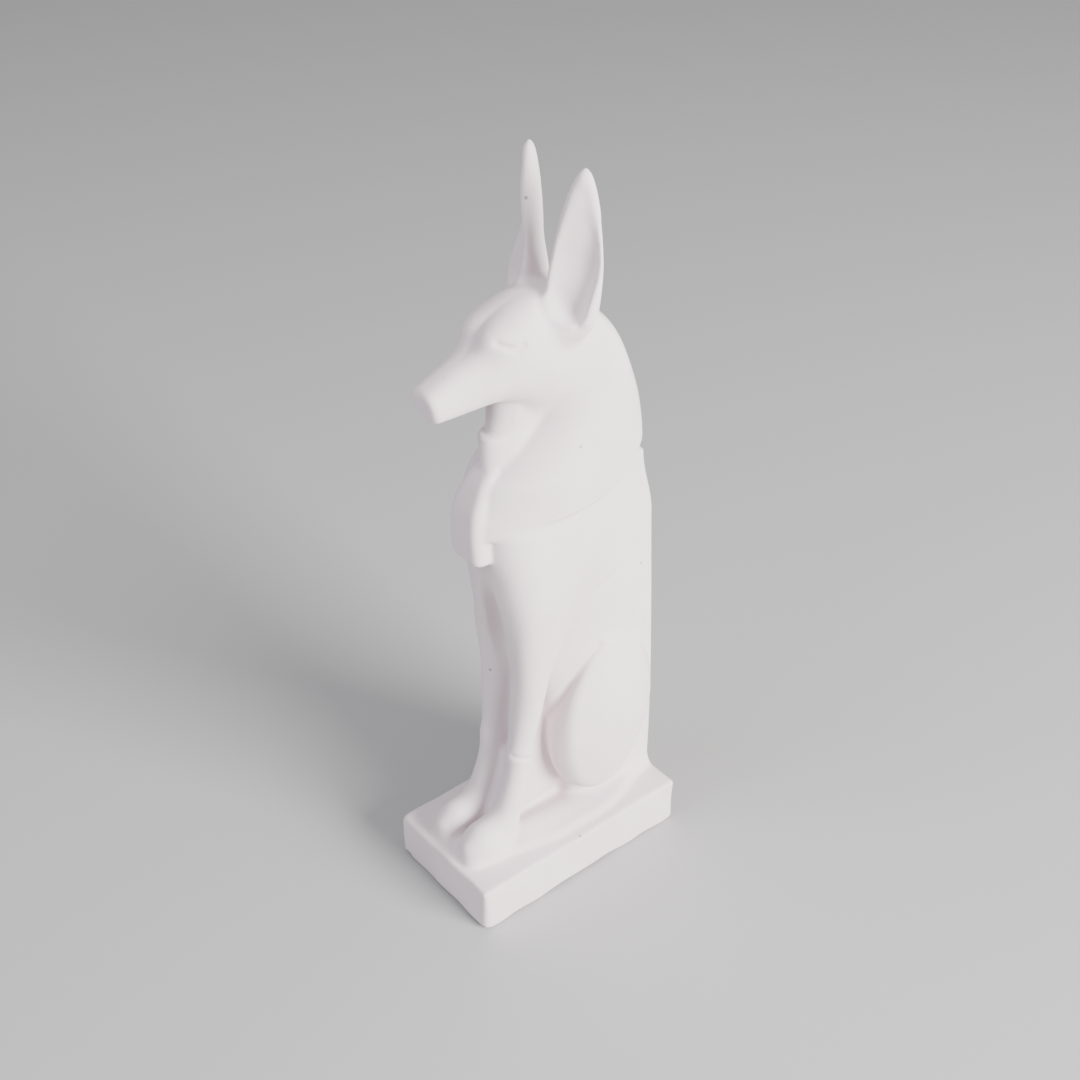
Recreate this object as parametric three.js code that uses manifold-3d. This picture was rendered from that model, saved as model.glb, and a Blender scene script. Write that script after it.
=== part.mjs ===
// Seated jackal in a plain wig, cast in one piece with its back pillar and plinth.
// Millimetres. +Z is up, the jackal faces -Y, its left flank is at +X.
// The origin is the middle of the plinth's underside.
import * as THREE from 'three';
import { mergeVertices } from 'three/addons/utils/BufferGeometryUtils.js';
import Module from 'manifold-3d';

// Plinth and the low pad of ground on top of it.
const PLINTH_WIDTH = 50.4;
const PLINTH_LENGTH = 89.8;
const PLINTH_HEIGHT = 19.05;
const PLINTH_ROUND = 1.7;
const PLINTH_SINK = 6;
const PAD_TOP = 21.4;
const PAD_FRONT = -41.5;
const PAD_BACK = 43;
const PAD_TOE_WIDTH = 13;
const PAD_FULL_WIDTH = 20;
const PAD_CORNER = 4;

// Back pillar, leaning forward as it rises.
const PILLAR_HALF_WIDTH = 11;
const PILLAR_FRONT = 20;
const PILLAR_FOOT_BACK = 44;
const PILLAR_LEAN = 5.2;
const PILLAR_SHOULDER = 3.8;
const PILLAR_TOP = 165;
const PILLAR_ROUND = 1.6;

// Trunk behind the forelegs: height, half width, front, back.
const TRUNK = [
  [15, 12, 7, 43.5],
  [50, 12.4, 3, 42.5],
  [85, 13.3, -6, 41.5],
  [115, 15.2, -12, 40.5],
  [140, 16.2, -24, 39.5],
  [165, 15, -26, 36.5],
];
const TRUNK_TOP = 166;

// Shoulders running down into the forelegs: height, half width, front, back.
const SHOULDER = [
  [70, 12.6, -17, -4],
  [84, 13.6, -17.6, -3],
  [98, 14.8, -18.6, -1],
  [110, 16, -19.6, 1.5],
  [120, 16.8, -21, 4.5],
  [132, 17.0, -23, 9.5],
  [142, 16.7, -24.6, 14.5],
  [160, 15.2, -26, 25],
];
const SHOULDER_LOW = 84;
const SHOULDER_TOP = 156;

// Furrow between the forelegs: height, half width, deepest point.
const FURROW = [
  [70, 2.7, -12],
  [86, 3.0, -12],
  [100, 3.8, -12.4],
  [110, 4.4, -12.8],
  [118, 4.3, -14.4],
  [126, 3.2, -18.5],
  [134, 1.6, -22.8],
  [141, 0.4, -30],
];
const FURROW_FOOT = 52;

// One foreleg: height, centre out from the middle, centre back, half width, half depth.
const FORELEG = [
  [20, 7.3, -27, 5.2, 5.6],
  [28, 7.2, -23.6, 5.0, 5.4],
  [36, 7.2, -19.6, 4.8, 5.0],
  [46, 7.1, -16.6, 4.3, 4.6],
  [52, 7.1, -15.6, 4.3, 4.6],
  [57, 7.1, -15.0, 4.7, 5.0],
  [62, 7.2, -14.4, 4.4, 4.6],
  [72, 7.7, -12.9, 5.2, 5.2],
  [86, 8.3, -11.3, 6.2, 6.1],
  [106, 10.3, -9.8, 5.8, 8.2],
  [124, 11.2, -8, 4, 8],
];
const FORELEG_TOP = 117;
const PAW = { out: 7.4, along: -30.2, up: 24.0, half: [6.9, 10.8, 6.4] };
const WEB_HALF_WIDTH = 3.4;
const WEB_BACK = 18;
const WEB_TOP = 124;

// Haunch and hind foot.
const HAUNCH = { out: 9.5, along: 20, up: 57.6, half: [11.6, 21.2, 31.4], lean: -12 };
const HIND_FOOT = { heel: [12.2, 26, 14.6], toe: [10.0, -16, 19.6], heelRadius: 6, toeRadius: 5 };

// Wig: height, half width, back, and the inner edge of its front, out and along.
const WIG = [
  [146, 17.3, 38.5, 6.6, -30.8],
  [152, 17.4, 38.6, 6.6, -31.0],
  [158, 17.5, 38.5, 6.5, -30.6],
  [164, 17.5, 38.0, 6.4, -28.7],
  [168, 17.4, 37.6, 6.3, -27.4],
  [172, 17.3, 37.0, 6.2, -25.6],
  [175, 17.2, 36.6, 6.2, -21.5],
  [180, 17.1, 35.6, 6.4, -16.2],
  [188, 16.9, 33.6, 7.6, -7.4],
  [197, 16.3, 30.6, 9.2, -0.6],
  [207, 15.4, 26.4, 11.8, 5.6],
  [215, 14.4, 22.2, 12.2, 9.4],
  [222, 13.0, 17.6, 11.0, 11],
  [230, 10, 11, 8, 9],
];
const WIG_SECTION = 2.9;
const WIG_TOP = 231;
const WIG_FACING = { low: 38, high: 60, blend: 13 };

// Lower edge of the wig from front to back: along, height.
const HEM = [
  [-32, 153.4],
  [-24, 153.2],
  [-17, 155.4],
  [-7, 156.4],
  [3, 156.9],
  [12, 157.9],
  [18, 160],
  [24, 163.4],
  [32, 168],
  [40, 171],
];

// Bib that hangs in front between the lappets: height, half width, front.
const BIB = [
  [143, 7.2, -30.8],
  [152, 7.2, -31.6],
  [158, 7.1, -31.6],
  [164, 6.8, -30.7],
  [168, 6.4, -29],
  [171, 6, -27.4],
  [174, 5.4, -25.2],
  [180, 4, -19.5],
];
const BIB_SIZE = { low: 143.4, top: 177, back: -20, round: 1.6 };

// Neck between the two lappets: height, half width, front.
const NECK = [
  [166, 5.4, -23],
  [176, 5.7, -22],
  [184, 6.0, -21],
  [192, 6.6, -19.8],
  [200, 7.8, -19],
  [208, 9.6, -18],
];
const THROAT_TAPER = { from: -14, rate: 0.17 };
const THROAT_BLOCK = { along: -14, up: 179.3, half: [5.9, 9.2, 8.5], round: 1.4 };

// Head from the nose back: distance along, half width, underside, top, squareness.
const HEAD = [
  [-46, 5.7, 201.2, 211.2, 2.6],
  [-36, 6.9, 200.8, 215.4, 2.5],
  [-28, 8.6, 200.8, 218.4, 2.3],
  [-24, 9.9, 200.6, 220.6, 2.1],
  [-20, 10.9, 200, 224.6, 2.1],
  [-14, 12.1, 198, 229.2, 2.4],
  [-8, 12.8, 195.8, 231.2, 2.7],
  [2, 13.2, 197, 231.6, 2.6],
  [12, 12, 204, 229, 2.5],
];
const NOSE_FRONT = -44.7;
const NOSE_SLANT = 0.22;
const BROW = { out: 4.0, along: -18.4, up: 223.0, half: [4.0, 5.2, 3.0] };

// One ear, a tall hollowed leaf turned outwards.
const EAR_FOOT = [9.9, 4.2, 223.2];
const EAR_TIP = [12.6, 6.4, 271.6];
const EAR_TURN = 49;
const EAR = { halfWidth: 8.3, halfDepth: 4.35, rootNarrowing: 0.84, widestAt: 0.35, tipRound: 2.6 };
const EAR_CUP = { across: 0.6, out: 2.4, up: 7.5, half: [6.6, 5.7, 16.5] };
const EAR_HOLLOW = {
  across: 2.2,
  widening: 1.22,
  deepening: 1.35,
  skew: 0.42,
  foot: 2,
  rise: 22,
  end: 0.91,
  liftMiddle: 1.35,
  liftRoot: 0.45,
  liftTip: 0.5,
};

// Widths of the fillets where the forms meet.
const FILLET = {
  web: 2,
  chest: 2.5,
  leg: 2.2,
  haunchFront: 1.4,
  haunchBack: 5.4,
  foot: 3.2,
  pillar: 1.6,
  neck: 1.5,
  jaw: 1.4,
  cheek: 8.4,
  ear: 3.2,
  bib: 0.8,
  pad: 2,
  hem: 0.9,
  nape: 3.9,
  base: 3.5,
};

// Sampling of the form, the number of facets kept, and the shape they keep.
const SAMPLE_LOW = [-27, -47, -5];
const SAMPLE_HIGH = [27, 47.5, 274];
const GRID = 1.1;
const FACETS = 9400;
const HOLD = 0.001;
const LENGTH_COST = 0.00002;
const SLIVER = 0.03;

function mix(a, b, t) {
  return a + (b - a) * t;
}

function clamp(value, low, high) {
  return Math.min(high, Math.max(low, value));
}

function ease(from, to, value) {
  const t = clamp((value - from) / (to - from), 0, 1);
  return t * t * (3 - 2 * t);
}

// Union of two distances with a fillet of width k, and the cut and overlap made from it.
function join(a, b, k) {
  const h = Math.max(k - Math.abs(a - b), 0) / k;
  return Math.min(a, b) - h * h * k * 0.25;
}

function cut(a, b, k) {
  return -join(-a, b, k);
}

function overlap(a, b, k) {
  return -join(-a, -b, k);
}

// Smooth curve through a list of stations, read at s.
function along(stations, s) {
  const last = stations.length - 1;
  if (s <= stations[0][0]) return stations[0].slice(1);
  if (s >= stations[last][0]) return stations[last].slice(1);
  let i = 0;
  while (s > stations[i + 1][0]) i++;
  const before = stations[Math.max(i - 1, 0)];
  const low = stations[i];
  const high = stations[i + 1];
  const after = stations[Math.min(i + 2, last)];
  const span = high[0] - low[0];
  const t = (s - low[0]) / span;
  const t2 = t * t;
  const t3 = t2 * t;
  return low.slice(1).map((value, k) => {
    const rise = (high[k + 1] - before[k + 1]) / (high[0] - before[0]) * span;
    const fall = (after[k + 1] - low[k + 1]) / (after[0] - low[0]) * span;
    return (2 * t3 - 3 * t2 + 1) * value + (t3 - 2 * t2 + t) * rise
      + (3 * t2 - 2 * t3) * high[k + 1] + (t3 - t2) * fall;
  });
}

// Distance to a squared-off oval, half sizes a and b, centred at c on the second axis.
function oval(u, v, a, c, b, squareness) {
  const p = Math.abs(u) / a;
  const q = Math.abs(v - c) / b;
  const r = Math.pow(Math.pow(p, squareness) + Math.pow(q, squareness), 1 / squareness);
  if (r < 0.05) return -Math.min(a, b);
  const slopeU = Math.pow(p / r, squareness - 1) / a;
  const slopeV = Math.pow(q / r, squareness - 1) / b;
  return (r - 1) / Math.hypot(slopeU, slopeV);
}

function egg(x, y, z, half) {
  const near = Math.hypot(x / half[0], y / half[1], z / half[2]);
  const far = Math.hypot(x / half[0] ** 2, y / half[1] ** 2, z / half[2] ** 2);
  return far < 1e-9 ? -Math.min(...half) : near * (near - 1) / far;
}

// Round bar from a to b whose radius changes evenly.
function bar(x, y, z, a, b, radiusA, radiusB) {
  const d = b.map((value, k) => value - a[k]);
  const run = (x - a[0]) * d[0] + (y - a[1]) * d[1] + (z - a[2]) * d[2];
  const t = clamp(run / (d[0] ** 2 + d[1] ** 2 + d[2] ** 2), 0, 1);
  const gap = Math.hypot(x - a[0] - d[0] * t, y - a[1] - d[1] * t, z - a[2] - d[2] * t);
  return gap - mix(radiusA, radiusB, t);
}

function block(x, y, z, half, round) {
  const u = Math.abs(x) - half[0] + round;
  const v = Math.abs(y) - half[1] + round;
  const w = Math.abs(z) - half[2] + round;
  const outside = Math.hypot(Math.max(u, 0), Math.max(v, 0), Math.max(w, 0));
  return outside + Math.min(Math.max(u, v, w), 0) - round;
}

function plinth(x, y, z) {
  const half = [PLINTH_WIDTH / 2, PLINTH_LENGTH / 2, (PLINTH_HEIGHT + PLINTH_SINK) / 2];
  return block(x, y, z - (PLINTH_HEIGHT - PLINTH_SINK) / 2, half, PLINTH_ROUND);
}

function pad(side, y, z) {
  const swell = ease(PAD_FRONT, -2, y) - ease(14, 40, y);
  const u = side - mix(PAD_TOE_WIDTH, PAD_FULL_WIDTH, swell) + PAD_CORNER;
  const v = Math.max(PAD_FRONT - y, y - PAD_BACK) + PAD_CORNER;
  const outline = Math.hypot(Math.max(u, 0), Math.max(v, 0)) + Math.min(Math.max(u, v), 0) - PAD_CORNER;
  return overlap(outline, z - PAD_TOP, 3);
}

function pillar(x, y, z) {
  const back = PILLAR_FOOT_BACK - PILLAR_LEAN * ease(40, 190, z) - PILLAR_SHOULDER * ease(138, 164, z);
  const half = [PILLAR_HALF_WIDTH, (back - PILLAR_FRONT) / 2, (PILLAR_TOP - 4) / 2];
  return block(x, y - (back + PILLAR_FRONT) / 2, z - (PILLAR_TOP + 4) / 2, half, PILLAR_ROUND);
}

function trunk(x, y, z) {
  const [half, front, back] = along(TRUNK, z);
  const shell = oval(x, y, half, (front + back) / 2, (back - front) / 2, 2.7);
  return overlap(shell, z - TRUNK_TOP, 3);
}

function shoulders(x, y, z) {
  const [half, front, back] = along(SHOULDER, z);
  const shell = oval(x, y, half, (front + back) / 2, (back - front) / 2, 3);
  return overlap(overlap(shell, z - SHOULDER_TOP, 3), SHOULDER_LOW - z, 24);
}

// Round-bottomed furrow that parts the chest into the two forelegs, down to their wrists.
function chestFurrow(x, y, z) {
  const [half, bottom] = along(FURROW, z);
  const channel = Math.hypot(x, Math.max(y - bottom + half, 0)) - half;
  return overlap(channel, FURROW_FOOT - z, 4);
}

function foreleg(side, y, z) {
  const [out, back, halfWidth, halfDepth] = along(FORELEG, z);
  let leg = oval(side - out, y, halfWidth, back, halfDepth, 2.1);
  leg = overlap(overlap(leg, z - FORELEG_TOP, 8), 18 - z, 2);
  leg = join(leg, bar(side, y, z, [7.2, -21.5, 29], [7.3, -32, 25.6], 4.8, 5.8), 3);
  return join(leg, egg(side - PAW.out, y - PAW.along, z - PAW.up, PAW.half), 2);
}

// Thin wall that fills the space between the forelegs and back to the belly.
function web(x, y, z) {
  const [, front] = along(FORELEG, z);
  const half = [WEB_HALF_WIDTH, (WEB_BACK - front) / 2, WEB_TOP / 2];
  return block(x, y - (WEB_BACK + front) / 2, z - WEB_TOP / 2, half, 2);
}

function haunch(side, y, z) {
  const lean = THREE.MathUtils.degToRad(HAUNCH.lean);
  const v = (y - HAUNCH.along) * Math.cos(lean) + (z - HAUNCH.up) * Math.sin(lean);
  const w = (z - HAUNCH.up) * Math.cos(lean) - (y - HAUNCH.along) * Math.sin(lean);
  return egg(side - HAUNCH.out, v, w, HAUNCH.half);
}

function hindFoot(side, y, z) {
  return bar(side, y, z, HIND_FOOT.heel, HIND_FOOT.toe, HIND_FOOT.heelRadius, HIND_FOOT.toeRadius);
}

// Hair of the wig: a tall squared oval whose front is cut flat between the lappets
// and slants back from their inner edge, with a hem that climbs towards the back.
function wig(side, y, z) {
  const [half, back, innerOut, innerAlong] = along(WIG, z);
  const front = innerAlong - 6;
  const depth = (back - front) / 2;
  const turned = mix(WIG_FACING.low, WIG_FACING.high, ease(156, 180, z));
  const facing = THREE.MathUtils.degToRad(turned);
  const slant = (side - innerOut) * Math.cos(facing) + (innerAlong - y) * Math.sin(facing);
  let hair = oval(side, y, half, back - depth, depth, WIG_SECTION);
  hair = overlap(hair, slant * 0.8, WIG_FACING.blend);
  hair = overlap(hair, innerAlong - 0.4 - y, 1);
  hair = overlap(hair, along(HEM, y)[0] - z, 2.2);
  return overlap(hair, z - WIG_TOP, 16);
}

function bib(side, y, z) {
  const [half, front] = along(BIB, z);
  const edges = overlap(side - half, (front - y) * 0.85, BIB_SIZE.round * 2);
  const ends = Math.max(z - BIB_SIZE.top, y - BIB_SIZE.back);
  return Math.max(overlap(edges, BIB_SIZE.low - z, BIB_SIZE.round * 2), ends);
}

// The neck narrows towards its front, where a squared block stands out below the jaw.
function neck(side, y, z) {
  const [half, front] = along(NECK, z);
  const u = side + THROAT_TAPER.rate * Math.max(THROAT_TAPER.from - y, 0);
  const column = oval(u, y, half, (front + 12) / 2, (12 - front) / 2, 3);
  const trimmed = overlap(overlap(column, z - 210, 3), 166 - z, 3);
  const { along: middle, up, half: size, round } = THROAT_BLOCK;
  const knot = overlap(oval(u, y, size[0], middle, size[1], 3), Math.abs(z - up) - size[2], round);
  return join(trimmed, knot, 1.2);
}

function head(x, side, y, z) {
  const [half, under, top, squareness] = along(HEAD, y);
  let form = oval(x, z, half, (under + top) / 2, (top - under) / 2, squareness);
  form = overlap(form, NOSE_FRONT + NOSE_SLANT * (210.5 - z) - y, 2.4);
  form = overlap(form, y - 12, 10);
  return join(form, egg(side - BROW.out, y - BROW.along, z - BROW.up, BROW.half), 5);
}

// The ear stands on its own axis: rise along it, across its width, and out of its face.
function ear(side, y, z) {
  const foot = new THREE.Vector3(...EAR_FOOT);
  const axis = new THREE.Vector3(...EAR_TIP).sub(foot);
  const length = axis.length();
  axis.normalize();
  const turn = THREE.MathUtils.degToRad(EAR_TURN);
  const face = new THREE.Vector3(Math.sin(turn), -Math.cos(turn), 0);
  face.addScaledVector(axis, -face.dot(axis)).normalize();
  const width = new THREE.Vector3().crossVectors(face, axis);
  const point = new THREE.Vector3(side, y, z).sub(foot);
  const rise = point.dot(axis) / length;
  const u = point.dot(width);
  const v = point.dot(face);
  return cut(earLeaf(u, v, rise, length), earHollow(u, v, rise, length), 1.6);
}

function earSize(rise) {
  const t = clamp(rise, 0, 0.975);
  const width = EAR.halfWidth * Math.pow(1 - Math.pow(t, 2.3), 0.64);
  const root = mix(EAR.rootNarrowing, 1, ease(0, EAR.widestAt, t));
  return [width * root, EAR.halfDepth * Math.sqrt(1 - t ** 3)];
}

// A cup swells at the root of the leaf.
function earLeaf(u, v, rise, length) {
  const [halfWidth, halfDepth] = earSize(rise);
  const cup = egg(u - EAR_CUP.across, v - EAR_CUP.out, rise * length - EAR_CUP.up, EAR_CUP.half);
  let leaf = oval(u, v, halfWidth, 0, halfDepth, 2.2);
  leaf = overlap(leaf, (rise - 1) * length, EAR.tipRound);
  leaf = overlap(leaf, -(rise + 0.02) * length, 6);
  return join(leaf, cup, 4);
}

// The hollow runs out over the inner edge of the leaf and is deepest along its outer edge.
function earHollow(u, v, rise, length) {
  const [halfWidth, halfDepth] = earSize(rise);
  const root = EAR_HOLLOW.liftRoot * (1 - ease(3, EAR_HOLLOW.rise, rise * length));
  const lift = EAR_HOLLOW.liftMiddle + root + EAR_HOLLOW.liftTip * ease(0.5, 0.9, rise);
  const tilt = EAR_HOLLOW.skew * (u - Math.hypot(u, 2)) / 2;
  const width = halfWidth * EAR_HOLLOW.widening;
  const depth = halfDepth * EAR_HOLLOW.deepening;
  const hollow = oval(u - EAR_HOLLOW.across, v - tilt, width, halfDepth * lift, depth, 2);
  const ends = overlap((rise - EAR_HOLLOW.end) * length, EAR_HOLLOW.foot - rise * length, 4);
  return overlap(hollow, ends, 4.5);
}

// Distance to the whole casting, below zero inside it.
function casting(x, y, z) {
  const side = Math.abs(x);
  const behind = Math.max(ease(22, 36, y), ease(80, 96, z));
  let body = trunk(x, y, z);
  body = join(body, web(x, y, z), FILLET.web);
  body = join(body, shoulders(x, y, z), FILLET.chest);
  body = cut(body, chestFurrow(x, y, z), FILLET.chest);
  body = join(body, foreleg(side, y, z), FILLET.leg);
  body = join(body, haunch(side, y, z), mix(FILLET.haunchFront, FILLET.haunchBack, behind));
  body = join(body, hindFoot(side, y, z), FILLET.foot);
  body = join(body, pillar(x, y, z), FILLET.pillar);
  let upper = wig(side, y, z);
  upper = join(upper, neck(side, y, z), FILLET.neck);
  upper = join(upper, head(x, side, y, z), mix(FILLET.jaw, FILLET.cheek, ease(-14, -2, y)));
  upper = join(upper, ear(side, y, z), FILLET.ear);
  upper = join(upper, bib(side, y, z), FILLET.bib);
  const base = join(plinth(x, y, z), pad(side, y, z), FILLET.pad);
  const figure = join(body, upper, mix(FILLET.hem, FILLET.nape, ease(26, 36, y)));
  const whole = join(figure, base, FILLET.base);
  return Math.max(whole, y - PLINTH_LENGTH / 2, -PLINTH_SINK / 2 - z);
}

// Corners of a grid cell, and the six tetrahedra that fill it round one long diagonal.
const CORNERS = [
  [0, 0, 0], [1, 0, 0], [1, 1, 0], [0, 1, 0],
  [0, 0, 1], [1, 0, 1], [1, 1, 1], [0, 1, 1],
];
const WEDGES = [
  [0, 1, 2, 6], [0, 2, 3, 6], [0, 3, 7, 6],
  [0, 7, 4, 6], [0, 4, 5, 6], [0, 5, 1, 6],
];

// Surface of the form on a regular grid, as points and triangles facing outwards.
function sampleSurface(form, low, high, step) {
  const count = low.map((value, k) => Math.ceil((high[k] - value) / step) + 1);
  const at = (i, j, k) => (k * count[1] + j) * count[0] + i;
  const values = new Float64Array(count[0] * count[1] * count[2]);
  for (let k = 0; k < count[2]; k++) {
    for (let j = 0; j < count[1]; j++) {
      for (let i = 0; i < count[0]; i++) {
        values[at(i, j, k)] = form(low[0] + i * step, low[1] + j * step, low[2] + k * step) || 1e-6;
      }
    }
  }
  const place = (index) => {
    const i = index % count[0];
    const j = Math.floor(index / count[0]) % count[1];
    const k = Math.floor(index / (count[0] * count[1]));
    return [low[0] + i * step, low[1] + j * step, low[2] + k * step];
  };
  const points = [];
  const triangles = [];
  const known = new Map();
  const crossing = (a, b) => {
    const key = a < b ? a * values.length + b : b * values.length + a;
    if (!known.has(key)) {
      const t = clamp(values[a] / (values[a] - values[b]), 0.04, 0.96);
      const from = place(a);
      const to = place(b);
      known.set(key, points.length);
      points.push(from.map((value, k) => mix(value, to[k], t)));
    }
    return known.get(key);
  };
  for (let k = 0; k + 1 < count[2]; k++) {
    for (let j = 0; j + 1 < count[1]; j++) {
      for (let i = 0; i + 1 < count[0]; i++) {
        const cell = CORNERS.map(([p, q, r]) => at(i + p, j + q, k + r));
        const inside = cell.filter((index) => values[index] < 0).length;
        if (inside === 0 || inside === 8) continue;
        for (const wedge of WEDGES) {
          faceWedge(wedge.map((corner) => cell[corner]), values, crossing, triangles);
        }
      }
    }
  }
  return { points, triangles };
}

// Facets of one tetrahedron whose corners keep a right-handed order.
function faceWedge(corners, values, crossing, triangles) {
  const inside = corners.map((index) => values[index] < 0);
  const total = inside.filter(Boolean).length;
  if (total === 0 || total === 4) return;
  if (total === 2) {
    const a = inside.indexOf(true);
    const b = inside.lastIndexOf(true);
    const rest = [0, 1, 2, 3].filter((corner) => !inside[corner]);
    const [c, d] = b - a === 2 ? rest.reverse() : rest;
    const quad = [[a, c], [a, d], [b, d], [b, c]].map(([p, q]) => crossing(corners[p], corners[q]));
    triangles.push([quad[0], quad[1], quad[2]], [quad[0], quad[2], quad[3]]);
    return;
  }
  const lone = total === 1 ? inside.indexOf(true) : inside.indexOf(false);
  const ring = [0, 1, 2, 3].filter((corner) => corner !== lone)
    .map((corner) => crossing(corners[lone], corners[corner]));
  const flip = (lone % 2 === 1) !== (total === 3);
  triangles.push(flip ? [ring[0], ring[2], ring[1]] : ring);
}

// Sum of squared distances to the plane of a facet, as the ten terms of a symmetric form.
function planeTerms(a, b, c) {
  const origin = new THREE.Vector3(...a);
  const normal = new THREE.Vector3(...b).sub(origin).cross(new THREE.Vector3(...c).sub(origin));
  const area = normal.length();
  if (area < 1e-12) return new Array(10).fill(0);
  const [p, q, r] = normal.divideScalar(area).toArray();
  const d = -normal.dot(origin);
  const terms = [p * p, p * q, p * r, p * d, q * q, q * r, q * d, r * r, r * d, d * d];
  return terms.map((term) => term * area);
}

function addTerms(a, b) {
  return a.map((term, k) => term + b[k]);
}

function distanceSum(terms, [x, y, z]) {
  return terms[0] * x * x + terms[4] * y * y + terms[7] * z * z + terms[9]
    + 2 * (terms[1] * x * y + terms[2] * x * z + terms[5] * y * z)
    + 2 * (terms[3] * x + terms[6] * y + terms[8] * z);
}

// Point nearest to all planes, held lightly to the middle of the edge.
function bestPoint(terms, middle) {
  const hold = HOLD * (terms[0] + terms[4] + terms[7]) + 1e-9;
  const matrix = new THREE.Matrix3(
    terms[0] + hold, terms[1], terms[2],
    terms[1], terms[4] + hold, terms[5],
    terms[2], terms[5], terms[7] + hold,
  );
  const pull = new THREE.Vector3(...middle).multiplyScalar(hold);
  pull.sub(new THREE.Vector3(terms[3], terms[6], terms[8]));
  return pull.applyMatrix3(matrix.invert()).toArray();
}

function distance(a, b) {
  return Math.hypot(...a.map((value, k) => value - b[k]));
}

function facetNormal(a, b, c) {
  const origin = new THREE.Vector3(...a);
  return new THREE.Vector3(...b).sub(origin).cross(new THREE.Vector3(...c).sub(origin));
}

// Queue that hands back the entry with the lowest cost first.
class CheapestFirst {
  constructor() {
    this.entries = [];
  }

  push(entry) {
    const list = this.entries;
    let i = list.push(entry) - 1;
    while (i > 0) {
      const parent = (i - 1) >> 1;
      if (list[parent].cost <= entry.cost) break;
      list[i] = list[parent];
      i = parent;
    }
    list[i] = entry;
  }

  pop() {
    const list = this.entries;
    const first = list[0];
    const last = list.pop();
    if (list.length === 0) return first;
    let i = 0;
    while (2 * i + 1 < list.length) {
      let child = 2 * i + 1;
      if (child + 1 < list.length && list[child + 1].cost < list[child].cost) child++;
      if (list[child].cost >= last.cost) break;
      list[i] = list[child];
      i = child;
    }
    list[i] = last;
    return first;
  }
}

// Draws edges together, cheapest first, until only the wanted number of facets is left.
function thinOut({ points, triangles }, wanted) {
  const around = points.map(() => new Set());
  const terms = points.map(() => new Array(10).fill(0));
  triangles.forEach((corners, index) => {
    const plane = planeTerms(...corners.map((corner) => points[corner]));
    for (const corner of corners) {
      around[corner].add(index);
      terms[corner] = addTerms(terms[corner], plane);
    }
  });
  const age = points.map(() => 0);
  const queue = new CheapestFirst();
  const neighbours = (corner) => {
    const found = new Set();
    for (const index of around[corner]) triangles[index].forEach((other) => found.add(other));
    found.delete(corner);
    return found;
  };
  const offer = (a, b) => {
    const both = addTerms(terms[a], terms[b]);
    const middle = points[a].map((value, k) => (value + points[b][k]) / 2);
    const spot = bestPoint(both, middle);
    const length = distance(points[a], points[b]);
    const cost = distanceSum(both, spot) + LENGTH_COST * length * length;
    queue.push({ cost, a, b, spot, stamp: age[a] + age[b] });
  };
  points.forEach((_, a) => neighbours(a).forEach((b) => {
    if (a < b) offer(a, b);
  }));
  let left = triangles.length;
  while (left > wanted && queue.entries.length > 0) {
    const { a, b, spot, stamp } = queue.pop();
    if (age[a] < 0 || age[b] < 0 || age[a] + age[b] !== stamp) continue;
    const beside = neighbours(b);
    const shared = [...neighbours(a)].filter((corner) => beside.has(corner));
    if (shared.length !== 2 || !keepsFacing(points, triangles, around, a, b, spot)) continue;
    points[a] = spot;
    terms[a] = addTerms(terms[a], terms[b]);
    for (const index of around[b]) {
      const corners = triangles[index];
      if (corners.includes(a)) {
        corners.forEach((corner) => around[corner].delete(index));
        triangles[index] = null;
        left--;
      } else {
        corners[corners.indexOf(b)] = a;
        around[a].add(index);
      }
    }
    age[b] = -1;
    age[a] += 1;
    for (const corner of neighbours(a)) offer(a, corner);
  }
  return { points, triangles: triangles.filter(Boolean) };
}

// True when no facet round the edge turns over or shrinks to a sliver as both ends move.
function keepsFacing(points, triangles, around, a, b, spot) {
  for (const [end, other] of [[a, b], [b, a]]) {
    for (const index of around[end]) {
      const corners = triangles[index];
      if (corners.includes(other)) continue;
      const before = facetNormal(...corners.map((corner) => points[corner]));
      const moved = corners.map((corner) => (corner === end ? spot : points[corner]));
      const after = facetNormal(...moved);
      const edges = moved.map((point, k) => distance(point, moved[(k + 1) % 3]));
      const longest = Math.max(...edges);
      if (after.length() < SLIVER * longest * longest) return false;
      if (before.dot(after) < 0.3 * before.length() * after.length()) return false;
    }
  }
  return true;
}

function toGeometry({ points, triangles }) {
  const geometry = new THREE.BufferGeometry();
  geometry.setAttribute('position', new THREE.Float32BufferAttribute(points.flat(), 3));
  geometry.setIndex(triangles.flat());
  return geometry;
}

function toSolid(wasm, geometry) {
  const bare = geometry.clone();
  bare.deleteAttribute('normal');
  bare.deleteAttribute('uv');
  const merged = mergeVertices(bare, 1e-5);
  return new wasm.Manifold(new wasm.Mesh({
    numProp: 3,
    vertProperties: Float32Array.from(merged.attributes.position.array),
    triVerts: Uint32Array.from(merged.index.array),
  }));
}

// The rough underside is cut off level, so the plinth stands flat.
function levelUnderside(wasm, rough) {
  const room = new THREE.BoxGeometry(100, 140, 300).translate(0, 0, 150);
  const { vertProperties, triVerts } = toSolid(wasm, rough).intersect(toSolid(wasm, room)).getMesh();
  const geometry = new THREE.BufferGeometry();
  geometry.setAttribute('position', new THREE.BufferAttribute(vertProperties, 3));
  geometry.setIndex(new THREE.BufferAttribute(triVerts, 1));
  geometry.computeVertexNormals();
  return geometry;
}

const wasm = await Module();
wasm.setup();

const rough = sampleSurface(casting, SAMPLE_LOW, SAMPLE_HIGH, GRID);
const statueGeometry = levelUnderside(wasm, toGeometry(thinOut(rough, FACETS)));
const plaster = new THREE.MeshStandardMaterial({ color: 0xd9c9c4, roughness: 0.9, metalness: 0 });
const statue = new THREE.Mesh(statueGeometry, plaster);
statue.name = 'statue';

const group = new THREE.Group();
group.name = 'seated_jackal';
group.add(statue);

export default group;
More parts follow.
